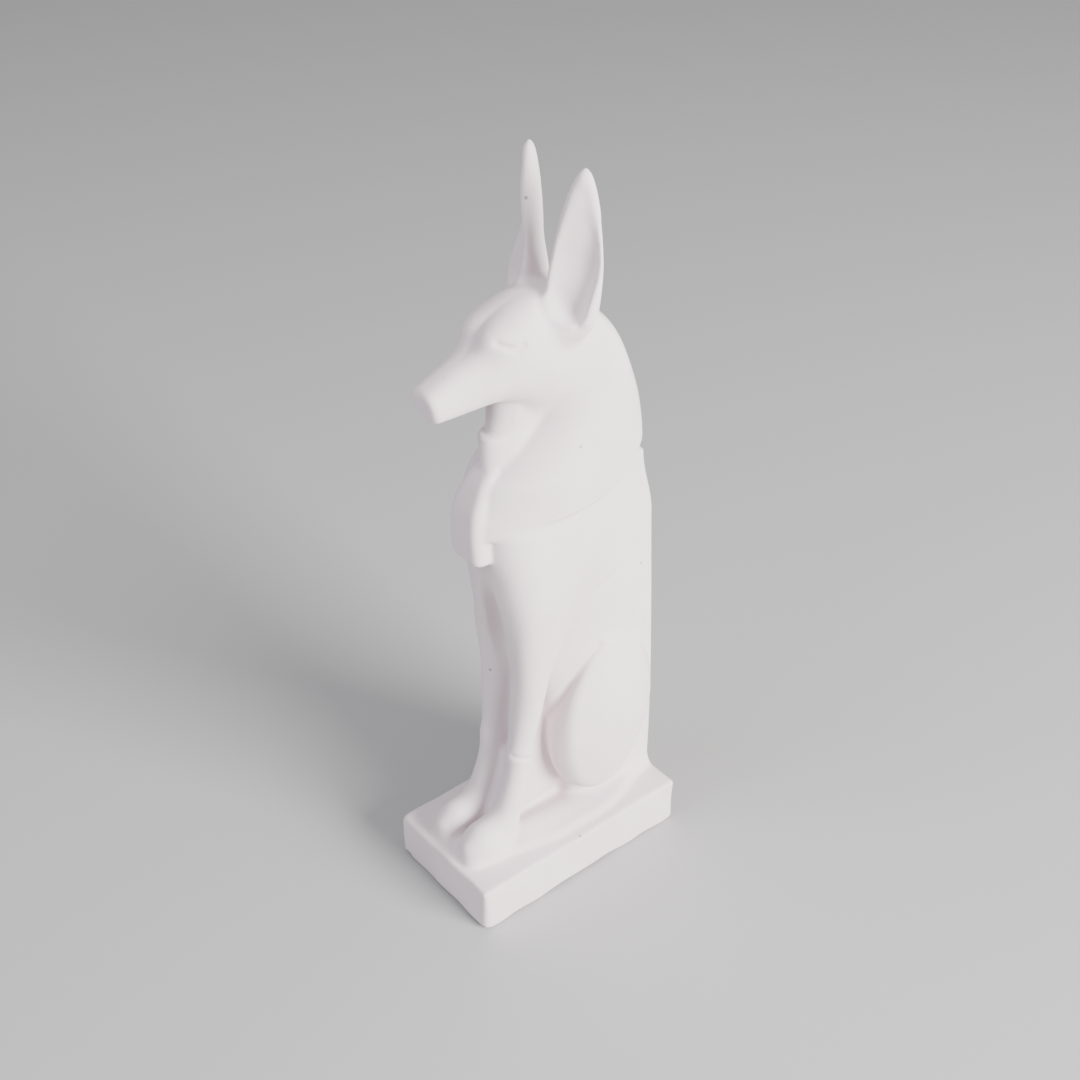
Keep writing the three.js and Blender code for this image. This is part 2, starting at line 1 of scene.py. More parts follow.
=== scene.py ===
"""Fine surface, plaster finish, studio light and camera for the seated jackal casting.

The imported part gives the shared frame. The fine surface is worked out again from the same
named sizes as the solid, in millimetres, sampled close together, and handed over in metres.
"""

from __future__ import annotations

import logging
import math
import sys
from dataclasses import dataclass
from enum import Enum
from itertools import product
from typing import Callable, Sequence

import bpy
import numpy as np
from mathutils import Matrix, Vector

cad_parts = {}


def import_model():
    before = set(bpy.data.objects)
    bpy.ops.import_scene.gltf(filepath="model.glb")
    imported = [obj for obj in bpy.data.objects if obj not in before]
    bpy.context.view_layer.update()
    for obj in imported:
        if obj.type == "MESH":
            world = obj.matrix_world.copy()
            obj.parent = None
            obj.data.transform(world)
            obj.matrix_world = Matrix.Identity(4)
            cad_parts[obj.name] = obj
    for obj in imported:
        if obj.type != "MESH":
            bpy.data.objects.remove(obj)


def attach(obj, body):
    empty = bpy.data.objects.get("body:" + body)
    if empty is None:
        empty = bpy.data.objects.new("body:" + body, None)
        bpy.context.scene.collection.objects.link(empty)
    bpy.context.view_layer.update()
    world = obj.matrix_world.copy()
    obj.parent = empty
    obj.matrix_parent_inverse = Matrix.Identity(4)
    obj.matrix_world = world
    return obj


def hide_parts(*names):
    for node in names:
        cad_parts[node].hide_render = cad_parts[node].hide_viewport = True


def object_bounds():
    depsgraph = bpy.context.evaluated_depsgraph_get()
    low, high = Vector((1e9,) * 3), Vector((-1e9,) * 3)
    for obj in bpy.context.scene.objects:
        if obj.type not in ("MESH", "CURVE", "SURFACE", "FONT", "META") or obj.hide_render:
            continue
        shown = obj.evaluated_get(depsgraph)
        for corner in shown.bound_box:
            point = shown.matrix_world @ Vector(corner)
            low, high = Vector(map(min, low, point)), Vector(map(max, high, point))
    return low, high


LOG = logging.getLogger("jackal")
Array = np.ndarray
Number = Array | float
Pair = tuple[float, float]
Triple = tuple[float, float, float]
Colour = tuple[float, float, float, float]
Socket = bpy.types.NodeSocket
Inputs = dict[str | int, object]
MM = 0.001
TINY = 1e-9


def mix(a: Number, b: Number, t: Number) -> Array:
    """Value a fraction t of the way from a to b.

    Args:
        a: Value at t = 0.
        b: Value at t = 1.
        t: Fraction.

    Returns:
        The mixed value.
    """
    return a + (b - a) * t


def ease(start: float, end: float, value: Array) -> Array:
    """Smooth step from 0 at start to 1 at end.

    Args:
        start: Value that gives 0.
        end: Value that gives 1.
        value: Where to read the step.

    Returns:
        Numbers from 0 to 1.
    """
    t = np.clip((value - start) / (end - start), 0.0, 1.0)
    return t * t * (3.0 - 2.0 * t)


def join(a: Array, b: Array, width: Number) -> Array:
    """Union of two distances with a fillet.

    Args:
        a: First distance.
        b: Second distance.
        width: Width of the fillet.

    Returns:
        The distance to both together.
    """
    h = np.maximum(width - np.abs(a - b), 0.0) / width
    return np.minimum(a, b) - h * h * width * 0.25


def cut(a: Array, b: Array, width: Number) -> Array:
    """First form with the second taken away, its edge rounded.

    Args:
        a: Distance to the form that stays.
        b: Distance to the form that is taken away.
        width: Width of the rounding.

    Returns:
        The distance to what is left.
    """
    return -join(-a, b, width)


def overlap(a: Array, b: Array, width: Number) -> Array:
    """Common part of two forms, its edge rounded.

    Args:
        a: First distance.
        b: Second distance.
        width: Width of the rounding.

    Returns:
        The distance to the common part.
    """
    return -join(-a, -b, width)


def oval(u: Array, v: Array, a: Number, c: Number, b: Number, power: Number) -> Array:
    """Distance to a squared-off oval |u/a|^p + |(v-c)/b|^p = 1.

    Args:
        u: First coordinate.
        v: Second coordinate.
        a: Half size along u.
        c: Middle along v.
        b: Half size along v.
        power: 2 for an ellipse, more for a squarer outline.

    Returns:
        Signed distance, close to exact near the outline.
    """
    p = np.abs(u) / a
    q = np.abs(v - c) / b
    r = np.maximum(p**power + q**power, 1e-12) ** (1.0 / power)
    slope = np.hypot((p / r) ** (power - 1.0) / a, (q / r) ** (power - 1.0) / b)
    return np.where(r < 0.05, -np.minimum(a, b), (r - 1.0) / np.maximum(slope, TINY))


def block(x: Array, y: Array, z: Array, half: Sequence[Number], rounding: float) -> Array:
    """Distance to a rounded box at the origin.

    Args:
        x: First coordinate.
        y: Second coordinate.
        z: Third coordinate.
        half: The three half sizes.
        rounding: Radius of its edges.

    Returns:
        Signed distance.
    """
    u = np.abs(x) - half[0] + rounding
    v = np.abs(y) - half[1] + rounding
    w = np.abs(z) - half[2] + rounding
    outside = np.sqrt(np.maximum(u, 0.0) ** 2 + np.maximum(v, 0.0) ** 2 + np.maximum(w, 0.0) ** 2)
    return outside + np.minimum(np.maximum(np.maximum(u, v), w), 0.0) - rounding


class Stations:
    """Smooth curve through a short list of stations."""

    def __init__(self, *rows: Sequence[float]) -> None:
        """Prepares the value and slope of every stretch.

        Args:
            rows: One row per station, its place first and then its sizes.
        """
        table = np.array(rows, float)
        self.place = table[:, 0]
        self.value = table[:, 1:]
        span = np.diff(self.place)[:, None]
        last = len(table) - 1
        before = np.maximum(np.arange(last) - 1, 0)
        after = np.minimum(np.arange(last) + 2, last)
        low, high = np.arange(last), np.arange(last) + 1
        to_high = (self.place[high] - self.place[before])[:, None]
        to_after = (self.place[after] - self.place[low])[:, None]
        self.rise = (self.value[high] - self.value[before]) / to_high * span
        self.fall = (self.value[after] - self.value[low]) / to_after * span

    def at(self, s: Array) -> list[Array]:
        """Sizes read off the curve: in each stretch a cubic with the slopes of its neighbours.

        Args:
            s: Places along the curve; beyond its ends the end values hold.

        Returns:
            One array per size.
        """
        s = np.clip(s, self.place[0], self.place[-1])
        i = np.clip(np.searchsorted(self.place, s, side="left") - 1, 0, len(self.place) - 2)
        t = (s - self.place[i]) / (self.place[i + 1] - self.place[i])
        t2, t3 = t * t, t * t * t
        low, rise, high, fall = 2 * t3 - 3 * t2 + 1, t3 - 2 * t2 + t, 3 * t2 - 2 * t3, t3 - t2
        return [
            low * self.value[i, k]
            + rise * self.rise[i, k]
            + high * self.value[i + 1, k]
            + fall * self.fall[i, k]
            for k in range(self.value.shape[1])
        ]


@dataclass(frozen=True)
class Points:
    """Places in space, in millimetres.

    Attributes:
        x: Across, positive on the left flank.
        y: Along, negative towards the nose.
        z: Up from the underside.
    """

    x: Array
    y: Array
    z: Array

    @property
    def side(self) -> Array:
        """Distance from the middle plane."""
        return np.abs(self.x)

    @property
    def near(self) -> Points:
        """The same places brought over to the left flank."""
        return Points(self.side, self.y, self.z)


@dataclass(frozen=True)
class Ramp:
    """Smooth change from one value to another.

    Attributes:
        first: Value before the change.
        last: Value after it.
        start: Where it begins.
        end: Where it ends.
    """

    first: float
    last: float
    start: float
    end: float

    def at(self, value: Array) -> Array:
        """Value of the ramp at each place."""
        return mix(self.first, self.last, ease(self.start, self.end, value))


@dataclass(frozen=True)
class Egg:
    """Ellipsoid.

    Attributes:
        centre: Its middle.
        half: Its half sizes.
    """

    centre: Triple
    half: Triple

    def distance(self, p: Points) -> Array:
        """Distance to the ellipsoid.

        The length of the place measured in half sizes is n; the distance is n (n - 1)
        divided by the length of the place measured in squared half sizes.

        Args:
            p: Where to read it.

        Returns:
            Signed distance, close to exact near the surface.
        """
        x, y, z = (value - middle for value, middle in zip((p.x, p.y, p.z), self.centre))
        a, b, c = self.half
        near = np.sqrt((x / a) ** 2 + (y / b) ** 2 + (z / c) ** 2)
        far = np.sqrt((x / a**2) ** 2 + (y / b**2) ** 2 + (z / c**2) ** 2)
        return np.where(far < TINY, -min(self.half), near * (near - 1.0) / np.maximum(far, TINY))


@dataclass(frozen=True)
class Bar:
    """Round bar whose radius changes evenly along it.

    Attributes:
        start: One end.
        end: The other end.
        radii: Radius at the start and at the end.
    """

    start: Triple
    end: Triple
    radii: Pair = (0.0, 0.0)

    def distance(self, p: Points) -> Array:
        """Distance to the bar.

        Args:
            p: Where to read it.

        Returns:
            Signed distance.
        """
        run = np.subtract(self.end, self.start)
        x, y, z = p.x - self.start[0], p.y - self.start[1], p.z - self.start[2]
        t = np.clip((x * run[0] + y * run[1] + z * run[2]) / float(run @ run), 0.0, 1.0)
        gap = np.sqrt((x - run[0] * t) ** 2 + (y - run[1] * t) ** 2 + (z - run[2] * t) ** 2)
        return gap - mix(*self.radii, t)


@dataclass(frozen=True)
class Wave:
    """One slanting sine wave of a ripple.

    Attributes:
        slant: Its direction.
        pace: How many times shorter it is than the ripple's length.
        shift: How strongly the seed shifts it.
    """

    slant: Triple
    pace: float
    shift: float


@dataclass(frozen=True)
class Ripple:
    """Slow unevenness: the mean of three slanting sine waves of unlike lengths.

    Attributes:
        seed: Shifts the waves.
        length: Rough length of the waves.
        waves: The waves.
    """

    seed: float
    length: float
    waves: tuple[Wave, ...] = (
        Wave((0.83, 0.31, 0.47), 1.0, 1.0),
        Wave((-0.52, 0.71, 0.33), 1.37, 2.1),
        Wave((0.27, -0.44, 0.86), 0.71, 3.7),
    )

    def at(self, p: Points) -> Array:
        """Height of the ripple.

        Args:
            p: Where to read it.

        Returns:
            Numbers between -1 and 1.
        """
        turns = 2.0 * math.pi / self.length
        total = 0.0
        for wave in self.waves:
            x, y, z = wave.slant
            run = turns * (x * p.x + y * p.y + z * p.z) * wave.pace
            total = total + np.sin(run + wave.shift * self.seed)
        return total / len(self.waves)


@dataclass(frozen=True)
class Base:
    """Plinth and the low pad that carries the paws.

    Attributes:
        width: Width of the plinth.
        length: Length of the plinth.
        height: Height of the plinth.
        rounding: Radius of the plinth's edges.
        sink: How far the form runs on below the underside.
        pad_top: Height of the pad's top.
        pad_front: Front end of the pad.
        pad_back: Rear end of the pad.
        toe_width: Half width of the pad at the toes.
        full_width: Half width of the pad at the haunches.
        widening: Where the pad is fully wide, starts to narrow and has narrowed, along.
        corner: Radius of the pad's corners.
        pad_round: Width of the rounding of the pad's top edge.
        fillet: Width of the fillet between plinth and pad.
    """

    width: float = 50.4
    length: float = 89.8
    height: float = 19.05
    rounding: float = 1.7
    sink: float = 6.0
    pad_top: float = 21.4
    pad_front: float = -41.5
    pad_back: float = 43.0
    toe_width: float = 13.0
    full_width: float = 20.0
    widening: Triple = (-2.0, 14.0, 40.0)
    corner: float = 4.0
    pad_round: float = 3.0
    fillet: float = 2.0

    def plinth(self, p: Points) -> Array:
        """Rounded block under the figure.

        Args:
            p: Where to read it.

        Returns:
            Signed distance.
        """
        half = (self.width / 2, self.length / 2, (self.height + self.sink) / 2)
        return block(p.x, p.y, p.z - (self.height - self.sink) / 2, half, self.rounding)

    def pad(self, p: Points) -> Array:
        """Low pad whose outline swells from the toes to the haunches.

        Args:
            p: Where to read it.

        Returns:
            Signed distance.
        """
        full, narrowing, narrow = self.widening
        swell = ease(self.pad_front, full, p.y) - ease(narrowing, narrow, p.y)
        u = p.side - mix(self.toe_width, self.full_width, swell) + self.corner
        v = np.maximum(self.pad_front - p.y, p.y - self.pad_back) + self.corner
        outline = np.hypot(np.maximum(u, 0.0), np.maximum(v, 0.0)) + np.minimum(np.maximum(u, v), 0.0)
        return overlap(outline - self.corner, p.z - self.pad_top, self.pad_round)

    def distance(self, p: Points) -> Array:
        """Distance to plinth and pad together."""
        return join(self.plinth(p), self.pad(p), self.fillet)


@dataclass(frozen=True)
class Body:
    """Trunk, shoulders, legs, feet and back pillar.

    Attributes:
        trunk: Height, half width, front, back.
        trunk_top: Height where the trunk ends under the hair.
        shoulder: Height, half width, front, back of the deep chest.
        chest_top: Height where the deep chest ends.
        chest_low: Height where it has run out.
        chest_blend: Length over which it runs out.
        furrow: Height, half width, depth of the furrow between the forelegs.
        furrow_foot: Height where the furrow ends.
        wall: Half width, back and top of the wall between the legs.
        foreleg: Height, out from the middle, along, half width, half depth.
        leg_ends: Lowest and highest place of the foreleg's form.
        instep: Bar from the wrist to the toes.
        paw: Rounded toes.
        calf: Egg of the folded hind leg, before it leans.
        lean: How far the egg leans forwards, in degrees.
        thigh_centre: Middle of the flatter thigh, along and up.
        thigh_half: Its half sizes.
        thigh_out: How far out its flat lies.
        thigh_top: How much less far out it lies at the top, along.
        thigh_high: Heights between which it reaches its top.
        thigh_back: How much less far out it lies at the back, along.
        hind_foot: Bar from the heel to the toes.
        pillar_half: Half width of the pillar.
        pillar_ends: Its lowest and highest place.
        pillar_depth: Its front, and its back at the foot.
        pillar_lean: How far its back leans in, over the height.
        pillar_nape: How far its back falls in below the hair, over the height.
        pillar_round: Radius of its edges.
        section: Squareness of trunk, chest and legs.
        end_round: Rounding of the upper ends that lie inside the hair.
        wall_round: Rounding of the wall between the legs.
        core_fillets: Fillets of the wall, of the chest and along the furrow.
        furrow_end: Length over which the furrow ends.
        leg_rounds: Rounding of the foreleg's upper end and of its sole.
        paw_fillets: Fillets of the instep and of the toes.
        thigh_fillet: Rounding of the thigh's edge and its fillet with the calf.
        fillets: Fillets of the forelegs, the hind feet and the pillar.
        haunch_fillet: Width of the fillet in front of the haunch and behind or above it.
        haunch_back: Places along between which the fillet widens.
        haunch_top: Heights between which it widens.
    """

    trunk: Stations = Stations(
        (15, 12, 7, 43.5),
        (50, 12.4, 3, 42.5),
        (85, 13.3, -6, 41.5),
        (115, 15.2, -12, 40.5),
        (140, 16.2, -24, 39.5),
        (165, 15, -26, 36.5),
    )
    trunk_top: float = 166.0
    shoulder: Stations = Stations(
        (70, 12.6, -17, -4),
        (84, 13.6, -17.6, -3),
        (98, 14.8, -18.6, -1),
        (110, 16, -19.6, 1.5),
        (120, 16.8, -21, 4.5),
        (132, 17.0, -23, 9.5),
        (142, 16.7, -24.6, 14.5),
        (160, 15.2, -26, 25),
    )
    chest_top: float = 156.0
    chest_low: float = 84.0
    chest_blend: float = 24.0
    furrow: Stations = Stations(
        (70, 2.7, -12),
        (86, 3.0, -12),
        (100, 3.8, -12.4),
        (110, 4.4, -12.8),
        (118, 4.3, -14.4),
        (126, 3.2, -18.5),
        (134, 1.6, -22.8),
        (141, 0.4, -30),
    )
    furrow_foot: float = 52.0
    wall: Triple = (3.4, 18.0, 124.0)
    foreleg: Stations = Stations(
        (20, 7.3, -27, 5.2, 5.6),
        (28, 7.2, -23.6, 5.0, 5.4),
        (36, 7.2, -19.6, 4.8, 5.0),
        (46, 7.1, -16.6, 4.3, 4.6),
        (52, 7.1, -15.6, 4.3, 4.6),
        (57, 7.1, -15.0, 4.7, 5.0),
        (62, 7.2, -14.4, 4.4, 4.6),
        (72, 7.7, -12.9, 5.2, 5.2),
        (86, 8.3, -11.3, 6.2, 6.1),
        (106, 10.3, -9.8, 5.8, 8.2),
        (124, 11.2, -8, 4, 8),
    )
    leg_ends: Pair = (18.0, 117.0)
    instep: Bar = Bar((7.2, -21.5, 29.0), (7.3, -32.0, 25.6), (4.8, 5.8))
    paw: Egg = Egg((7.4, -30.2, 24.0), (6.9, 10.8, 6.4))
    calf: Egg = Egg((9.5, 20.0, 57.6), (11.6, 21.2, 31.4))
    lean: float = -12.0
    thigh_centre: Pair = (18.4, 60.6)
    thigh_half: Pair = (17.8, 33.6)
    thigh_out: float = 16.4
    thigh_top: Ramp = Ramp(0.0, 2.6, 13.0, 26.0)
    thigh_high: Pair = (72.0, 92.0)
    thigh_back: Ramp = Ramp(0.0, 2.0, 24.0, 36.0)
    hind_foot: Bar = Bar((12.2, 26.0, 14.6), (10.0, -16.0, 19.6), (6.0, 5.0))
    pillar_half: float = 11.0
    pillar_ends: Pair = (4.0, 165.0)
    pillar_depth: Pair = (20.0, 44.0)
    pillar_lean: Ramp = Ramp(0.0, 5.2, 40.0, 190.0)
    pillar_nape: Ramp = Ramp(0.0, 3.8, 138.0, 164.0)
    pillar_round: float = 1.6
    section: Triple = (2.7, 3.0, 2.1)
    end_round: float = 3.0
    wall_round: float = 2.0
    core_fillets: Triple = (2.0, 2.5, 2.5)
    furrow_end: float = 4.0
    leg_rounds: Pair = (8.0, 2.0)
    paw_fillets: Pair = (3.0, 2.0)
    thigh_fillet: float = 4.0
    fillets: Triple = (2.2, 3.2, 1.6)
    haunch_fillet: Pair = (1.4, 5.4)
    haunch_back: Pair = (22.0, 36.0)
    haunch_top: Pair = (80.0, 96.0)

    def core(self, p: Points) -> Array:
        """Trunk, wall between the legs and deep chest, with the furrow taken out.

        Args:
            p: Where to read it.

        Returns:
            Signed distance.
        """
        half, front, back = self.trunk.at(p.z)
        trunk = oval(p.x, p.y, half, (front + back) / 2, (back - front) / 2, self.section[0])
        trunk = overlap(trunk, p.z - self.trunk_top, self.end_round)
        lead = self.foreleg.at(p.z)[1]
        half, back, top = self.wall
        sizes = (half, (back - lead) / 2, top / 2)
        wall = block(p.x, p.y - (back + lead) / 2, p.z - top / 2, sizes, self.wall_round)
        half, front, back = self.shoulder.at(p.z)
        chest = oval(p.x, p.y, half, (front + back) / 2, (back - front) / 2, self.section[1])
        chest = overlap(chest, p.z - self.chest_top, self.end_round)
        chest = overlap(chest, self.chest_low - p.z, self.chest_blend)
        half, bottom = self.furrow.at(p.z)
        furrow = np.hypot(p.x, np.maximum(p.y - bottom + half, 0.0)) - half
        furrow = overlap(furrow, self.furrow_foot - p.z, self.furrow_end)
        round_wall, round_chest, round_furrow = self.core_fillets
        return cut(join(join(trunk, wall, round_wall), chest, round_chest), furrow, round_furrow)

    def leg(self, p: Points) -> Array:
        """Foreleg and paw of both sides.

        Args:
            p: Where to read it.

        Returns:
            Signed distance.
        """
        out, back, half_width, half_depth = self.foreleg.at(p.z)
        leg = oval(p.side - out, p.y, half_width, back, half_depth, self.section[2])
        low, top = self.leg_ends
        leg = overlap(leg, p.z - top, self.leg_rounds[0])
        leg = overlap(leg, low - p.z, self.leg_rounds[1])
        leg = join(leg, self.instep.distance(p.near), self.paw_fillets[0])
        return join(leg, self.paw.distance(p.near), self.paw_fillets[1])

    def haunch(self, p: Points) -> Array:
        """Folded hind leg of both sides: a forward-leaning egg in front of a flatter thigh.

        The thigh stands out from the trunk along its front and runs out level with it
        towards the top and the back.

        Args:
            p: Where to read it.

        Returns:
            Signed distance.
        """
        lean = math.radians(self.lean)
        _, along, up = self.calf.centre
        y = (p.y - along) * math.cos(lean) + (p.z - up) * math.sin(lean)
        z = (p.z - up) * math.cos(lean) - (p.y - along) * math.sin(lean)
        calf = self.calf.distance(Points(p.side, y + along, z + up))
        along, up = self.thigh_centre
        length, height = self.thigh_half
        flat = self.thigh_out - self.thigh_top.at(p.y) * ease(*self.thigh_high, p.z)
        flat = flat - self.thigh_back.at(p.y)
        outline = oval(p.y - along, p.z, length, up, height, self.section[2])
        thigh = overlap(outline, p.side - flat, self.thigh_fillet)
        return join(calf, thigh, self.thigh_fillet)

    def pillar(self, p: Points) -> Array:
        """Plain back pillar that leans in towards its top.

        Args:
            p: Where to read it.

        Returns:
            Signed distance.
        """
        low, top = self.pillar_ends
        front, back = self.pillar_depth
        back = back - self.pillar_lean.at(p.z) - self.pillar_nape.at(p.z)
        half = (self.pillar_half, (back - front) / 2, (top - low) / 2)
        y, z = p.y - (back + front) / 2, p.z - (top + low) / 2
        return block(p.x, y, z, half, self.pillar_round)

    def distance(self, p: Points) -> Array:
        """The whole body with its fillets.

        Args:
            p: Where to read it.

        Returns:
            Signed distance.
        """
        round_leg, round_foot, round_pillar = self.fillets
        form = join(self.core(p), self.leg(p), round_leg)
        behind = np.maximum(ease(*self.haunch_back, p.y), ease(*self.haunch_top, p.z))
        form = join(form, self.haunch(p), mix(*self.haunch_fillet, behind))
        form = join(form, self.hind_foot.distance(p.near), round_foot)
        return join(form, self.pillar(p), round_pillar)


@dataclass(frozen=True)
class Wig:
    """Hair, the bib that hangs in front between its lappets, and the neck behind the bib.

    Attributes:
        hair: Height, half width, back, and the inner edge of the front, out and along.
        hem: Lower edge of the hair from front to back: along, height.
        bib_line: Height, half width, front.
        neck: Height, half width, front.
        section: Squareness of the hair's outline.
        top: Height of the crown.
        facing: Degrees that the slanting front turns from straight ahead, over the height.
        blend: Width of the rounding where the slanting front meets the sides.
        reach: How far the hair's outline runs on before its front.
        slant: Weight of the slanting front in its rounding with the sides.
        lip: How far the lappets' inner edges stand out, and their rounding.
        hem_round: Rounding of the hair's lower edge.
        crown_round: Rounding of the crown.
        neck_ends: Lowest and highest place of the neck.
        neck_back: Rear end of the neck.
        neck_section: Squareness of the neck and of the block below the jaw.
        neck_round: Rounding of the neck's ends.
        taper: How much the throat narrows towards its front, and from where.
        knot: Place along and height of the squared block below the jaw.
        knot_half: Its half sizes across, along and up.
        knot_round: Rounding of its edges, and its fillet with the neck.
        bib_ends: Lowest and highest place of the bib.
        bib_back: Rear end of the bib.
        bib_slope: Weight of the bib's front in its rounding with the sides.
        bib_round: Width of the rounding of its edges.
    """

    hair: Stations = Stations(
        (146, 17.3, 38.5, 6.6, -30.8),
        (152, 17.4, 38.6, 6.6, -31.0),
        (158, 17.5, 38.5, 6.5, -30.6),
        (164, 17.5, 38.0, 6.4, -28.7),
        (168, 17.4, 37.6, 6.3, -27.4),
        (172, 17.3, 37.0, 6.2, -25.6),
        (175, 17.2, 36.6, 6.2, -21.5),
        (180, 17.1, 35.6, 6.4, -16.2),
        (188, 16.9, 33.6, 7.6, -7.4),
        (197, 16.3, 30.6, 9.2, -0.6),
        (207, 15.4, 26.4, 11.8, 5.6),
        (215, 14.4, 22.2, 12.2, 9.4),
        (222, 13.0, 17.6, 11.0, 11),
        (230, 10, 11, 8, 9),
    )
    hem: Stations = Stations(
        (-32, 153.4),
        (-24, 153.2),
        (-17, 155.4),
        (-7, 156.4),
        (3, 156.9),
        (12, 157.9),
        (18, 160),
        (24, 163.4),
        (32, 168),
        (40, 171),
    )
    bib_line: Stations = Stations(
        (143, 7.2, -30.8),
        (152, 7.2, -31.6),
        (158, 7.1, -31.6),
        (164, 6.8, -30.7),
        (168, 6.4, -29),
        (171, 6, -27.4),
        (174, 5.4, -25.2),
        (180, 4, -19.5),
    )
    neck: Stations = Stations(
        (166, 5.4, -23),
        (176, 5.7, -22),
        (184, 6.0, -21),
        (192, 6.6, -19.8),
        (200, 7.8, -19),
        (208, 9.6, -18),
    )
    section: float = 2.9
    top: float = 231.0
    facing: Ramp = Ramp(38.0, 60.0, 156.0, 180.0)
    blend: float = 13.0
    reach: float = 6.0
    slant: float = 0.8
    lip: Pair = (0.4, 1.0)
    hem_round: float = 2.2
    crown_round: float = 16.0
    neck_ends: Pair = (166.0, 210.0)
    neck_back: float = 12.0
    neck_section: float = 3.0
    neck_round: float = 3.0
    taper: Pair = (0.17, -14.0)
    knot: Pair = (-14.0, 179.3)
    knot_half: Triple = (5.9, 9.2, 8.5)
    knot_round: Pair = (1.4, 1.2)
    bib_ends: Pair = (143.4, 177.0)
    bib_back: float = -20.0
    bib_slope: float = 0.85
    bib_round: float = 3.2

    def hanging(self, p: Points) -> Array:
        """Hair with a flat front between the lappets that slants back from their inner edge.

        Args:
            p: Where to read it.

        Returns:
            Signed distance.
        """
        half, back, inner_out, inner_along = self.hair.at(p.z)
        depth = (back - inner_along + self.reach) / 2
        turned = np.radians(self.facing.at(p.z))
        slant = (p.side - inner_out) * np.cos(turned) + (inner_along - p.y) * np.sin(turned)
        hair = oval(p.side, p.y, half, back - depth, depth, self.section)
        hair = overlap(hair, slant * self.slant, self.blend)
        hair = overlap(hair, inner_along - self.lip[0] - p.y, self.lip[1])
        hair = overlap(hair, self.hem.at(p.y)[0] - p.z, self.hem_round)
        return overlap(hair, p.z - self.top, self.crown_round)

    def throat(self, p: Points) -> Array:
        """Neck that narrows towards its front, with the squared block below the jaw.

        Args:
            p: Where to read it.

        Returns:
            Signed distance.
        """
        half, front = self.neck.at(p.z)
        rate, start = self.taper
        out = p.side + rate * np.maximum(start - p.y, 0.0)
        back, (low, top) = self.neck_back, self.neck_ends
        column = oval(out, p.y, half, (front + back) / 2, (back - front) / 2, self.neck_section)
        column = overlap(column, p.z - top, self.neck_round)
        column = overlap(column, low - p.z, self.neck_round)
        (along, up), (across, deep, high) = self.knot, self.knot_half
        knot = oval(out, p.y, across, along, deep, self.neck_section)
        knot = overlap(knot, np.abs(p.z - up) - high, self.knot_round[0])
        return join(column, knot, self.knot_round[1])

    def bib(self, p: Points) -> Array:
        """Bib between the lappets, squared off below the hem.

        Args:
            p: Where to read it.

        Returns:
            Signed distance.
        """
        half, front = self.bib_line.at(p.z)
        low, top = self.bib_ends
        edges = overlap(p.side - half, (front - p.y) * self.bib_slope, self.bib_round)
        edges = overlap(edges, low - p.z, self.bib_round)
        return np.maximum(edges, np.maximum(p.z - top, p.y - self.bib_back))


@dataclass(frozen=True)
class Head:
    """Long jackal's muzzle, skull and brows.

    Attributes:
        skull: Along, half width, underside, top, squareness.
        nose_front: Where the nose ends.
        nose_slant: How much the nose leans.
        nose_top: Height of its upper edge.
        nose_round: Rounding of its edges.
        back: Where the skull ends inside the hair.
        back_round: Rounding of that end.
        brow: Egg of one brow ridge.
        brow_fillet: Width of the fillet round it.
    """

    skull: Stations = Stations(
        (-46, 5.7, 201.2, 211.2, 2.6),
        (-36, 6.9, 200.8, 215.4, 2.5),
        (-28, 8.6, 200.8, 218.4, 2.3),
        (-24, 9.9, 200.6, 220.6, 2.1),
        (-20, 10.9, 200, 224.6, 2.1),
        (-14, 12.1, 198, 229.2, 2.4),
        (-8, 12.8, 195.8, 231.2, 2.7),
        (2, 13.2, 197, 231.6, 2.6),
        (12, 12, 204, 229, 2.5),
    )
    nose_front: float = -44.7
    nose_slant: float = 0.22
    nose_top: float = 210.5
    nose_round: float = 2.4
    back: float = 12.0
    back_round: float = 10.0
    brow: Egg = Egg((4.0, -18.4, 223.0), (4.0, 5.2, 3.0))
    brow_fillet: float = 9.0

    def distance(self, p: Points) -> Array:
        """Head with its soft brow ridge.

        Args:
            p: Where to read it.

        Returns:
            Signed distance.
        """
        half, under, top, power = self.skull.at(p.y)
        form = oval(p.x, p.z, half, (under + top) / 2, (top - under) / 2, power)
        nose = self.nose_front + self.nose_slant * (self.nose_top - p.z)
        form = overlap(form, nose - p.y, self.nose_round)
        form = overlap(form, p.y - self.back, self.back_round)
        return join(form, self.brow.distance(p.near), self.brow_fillet)


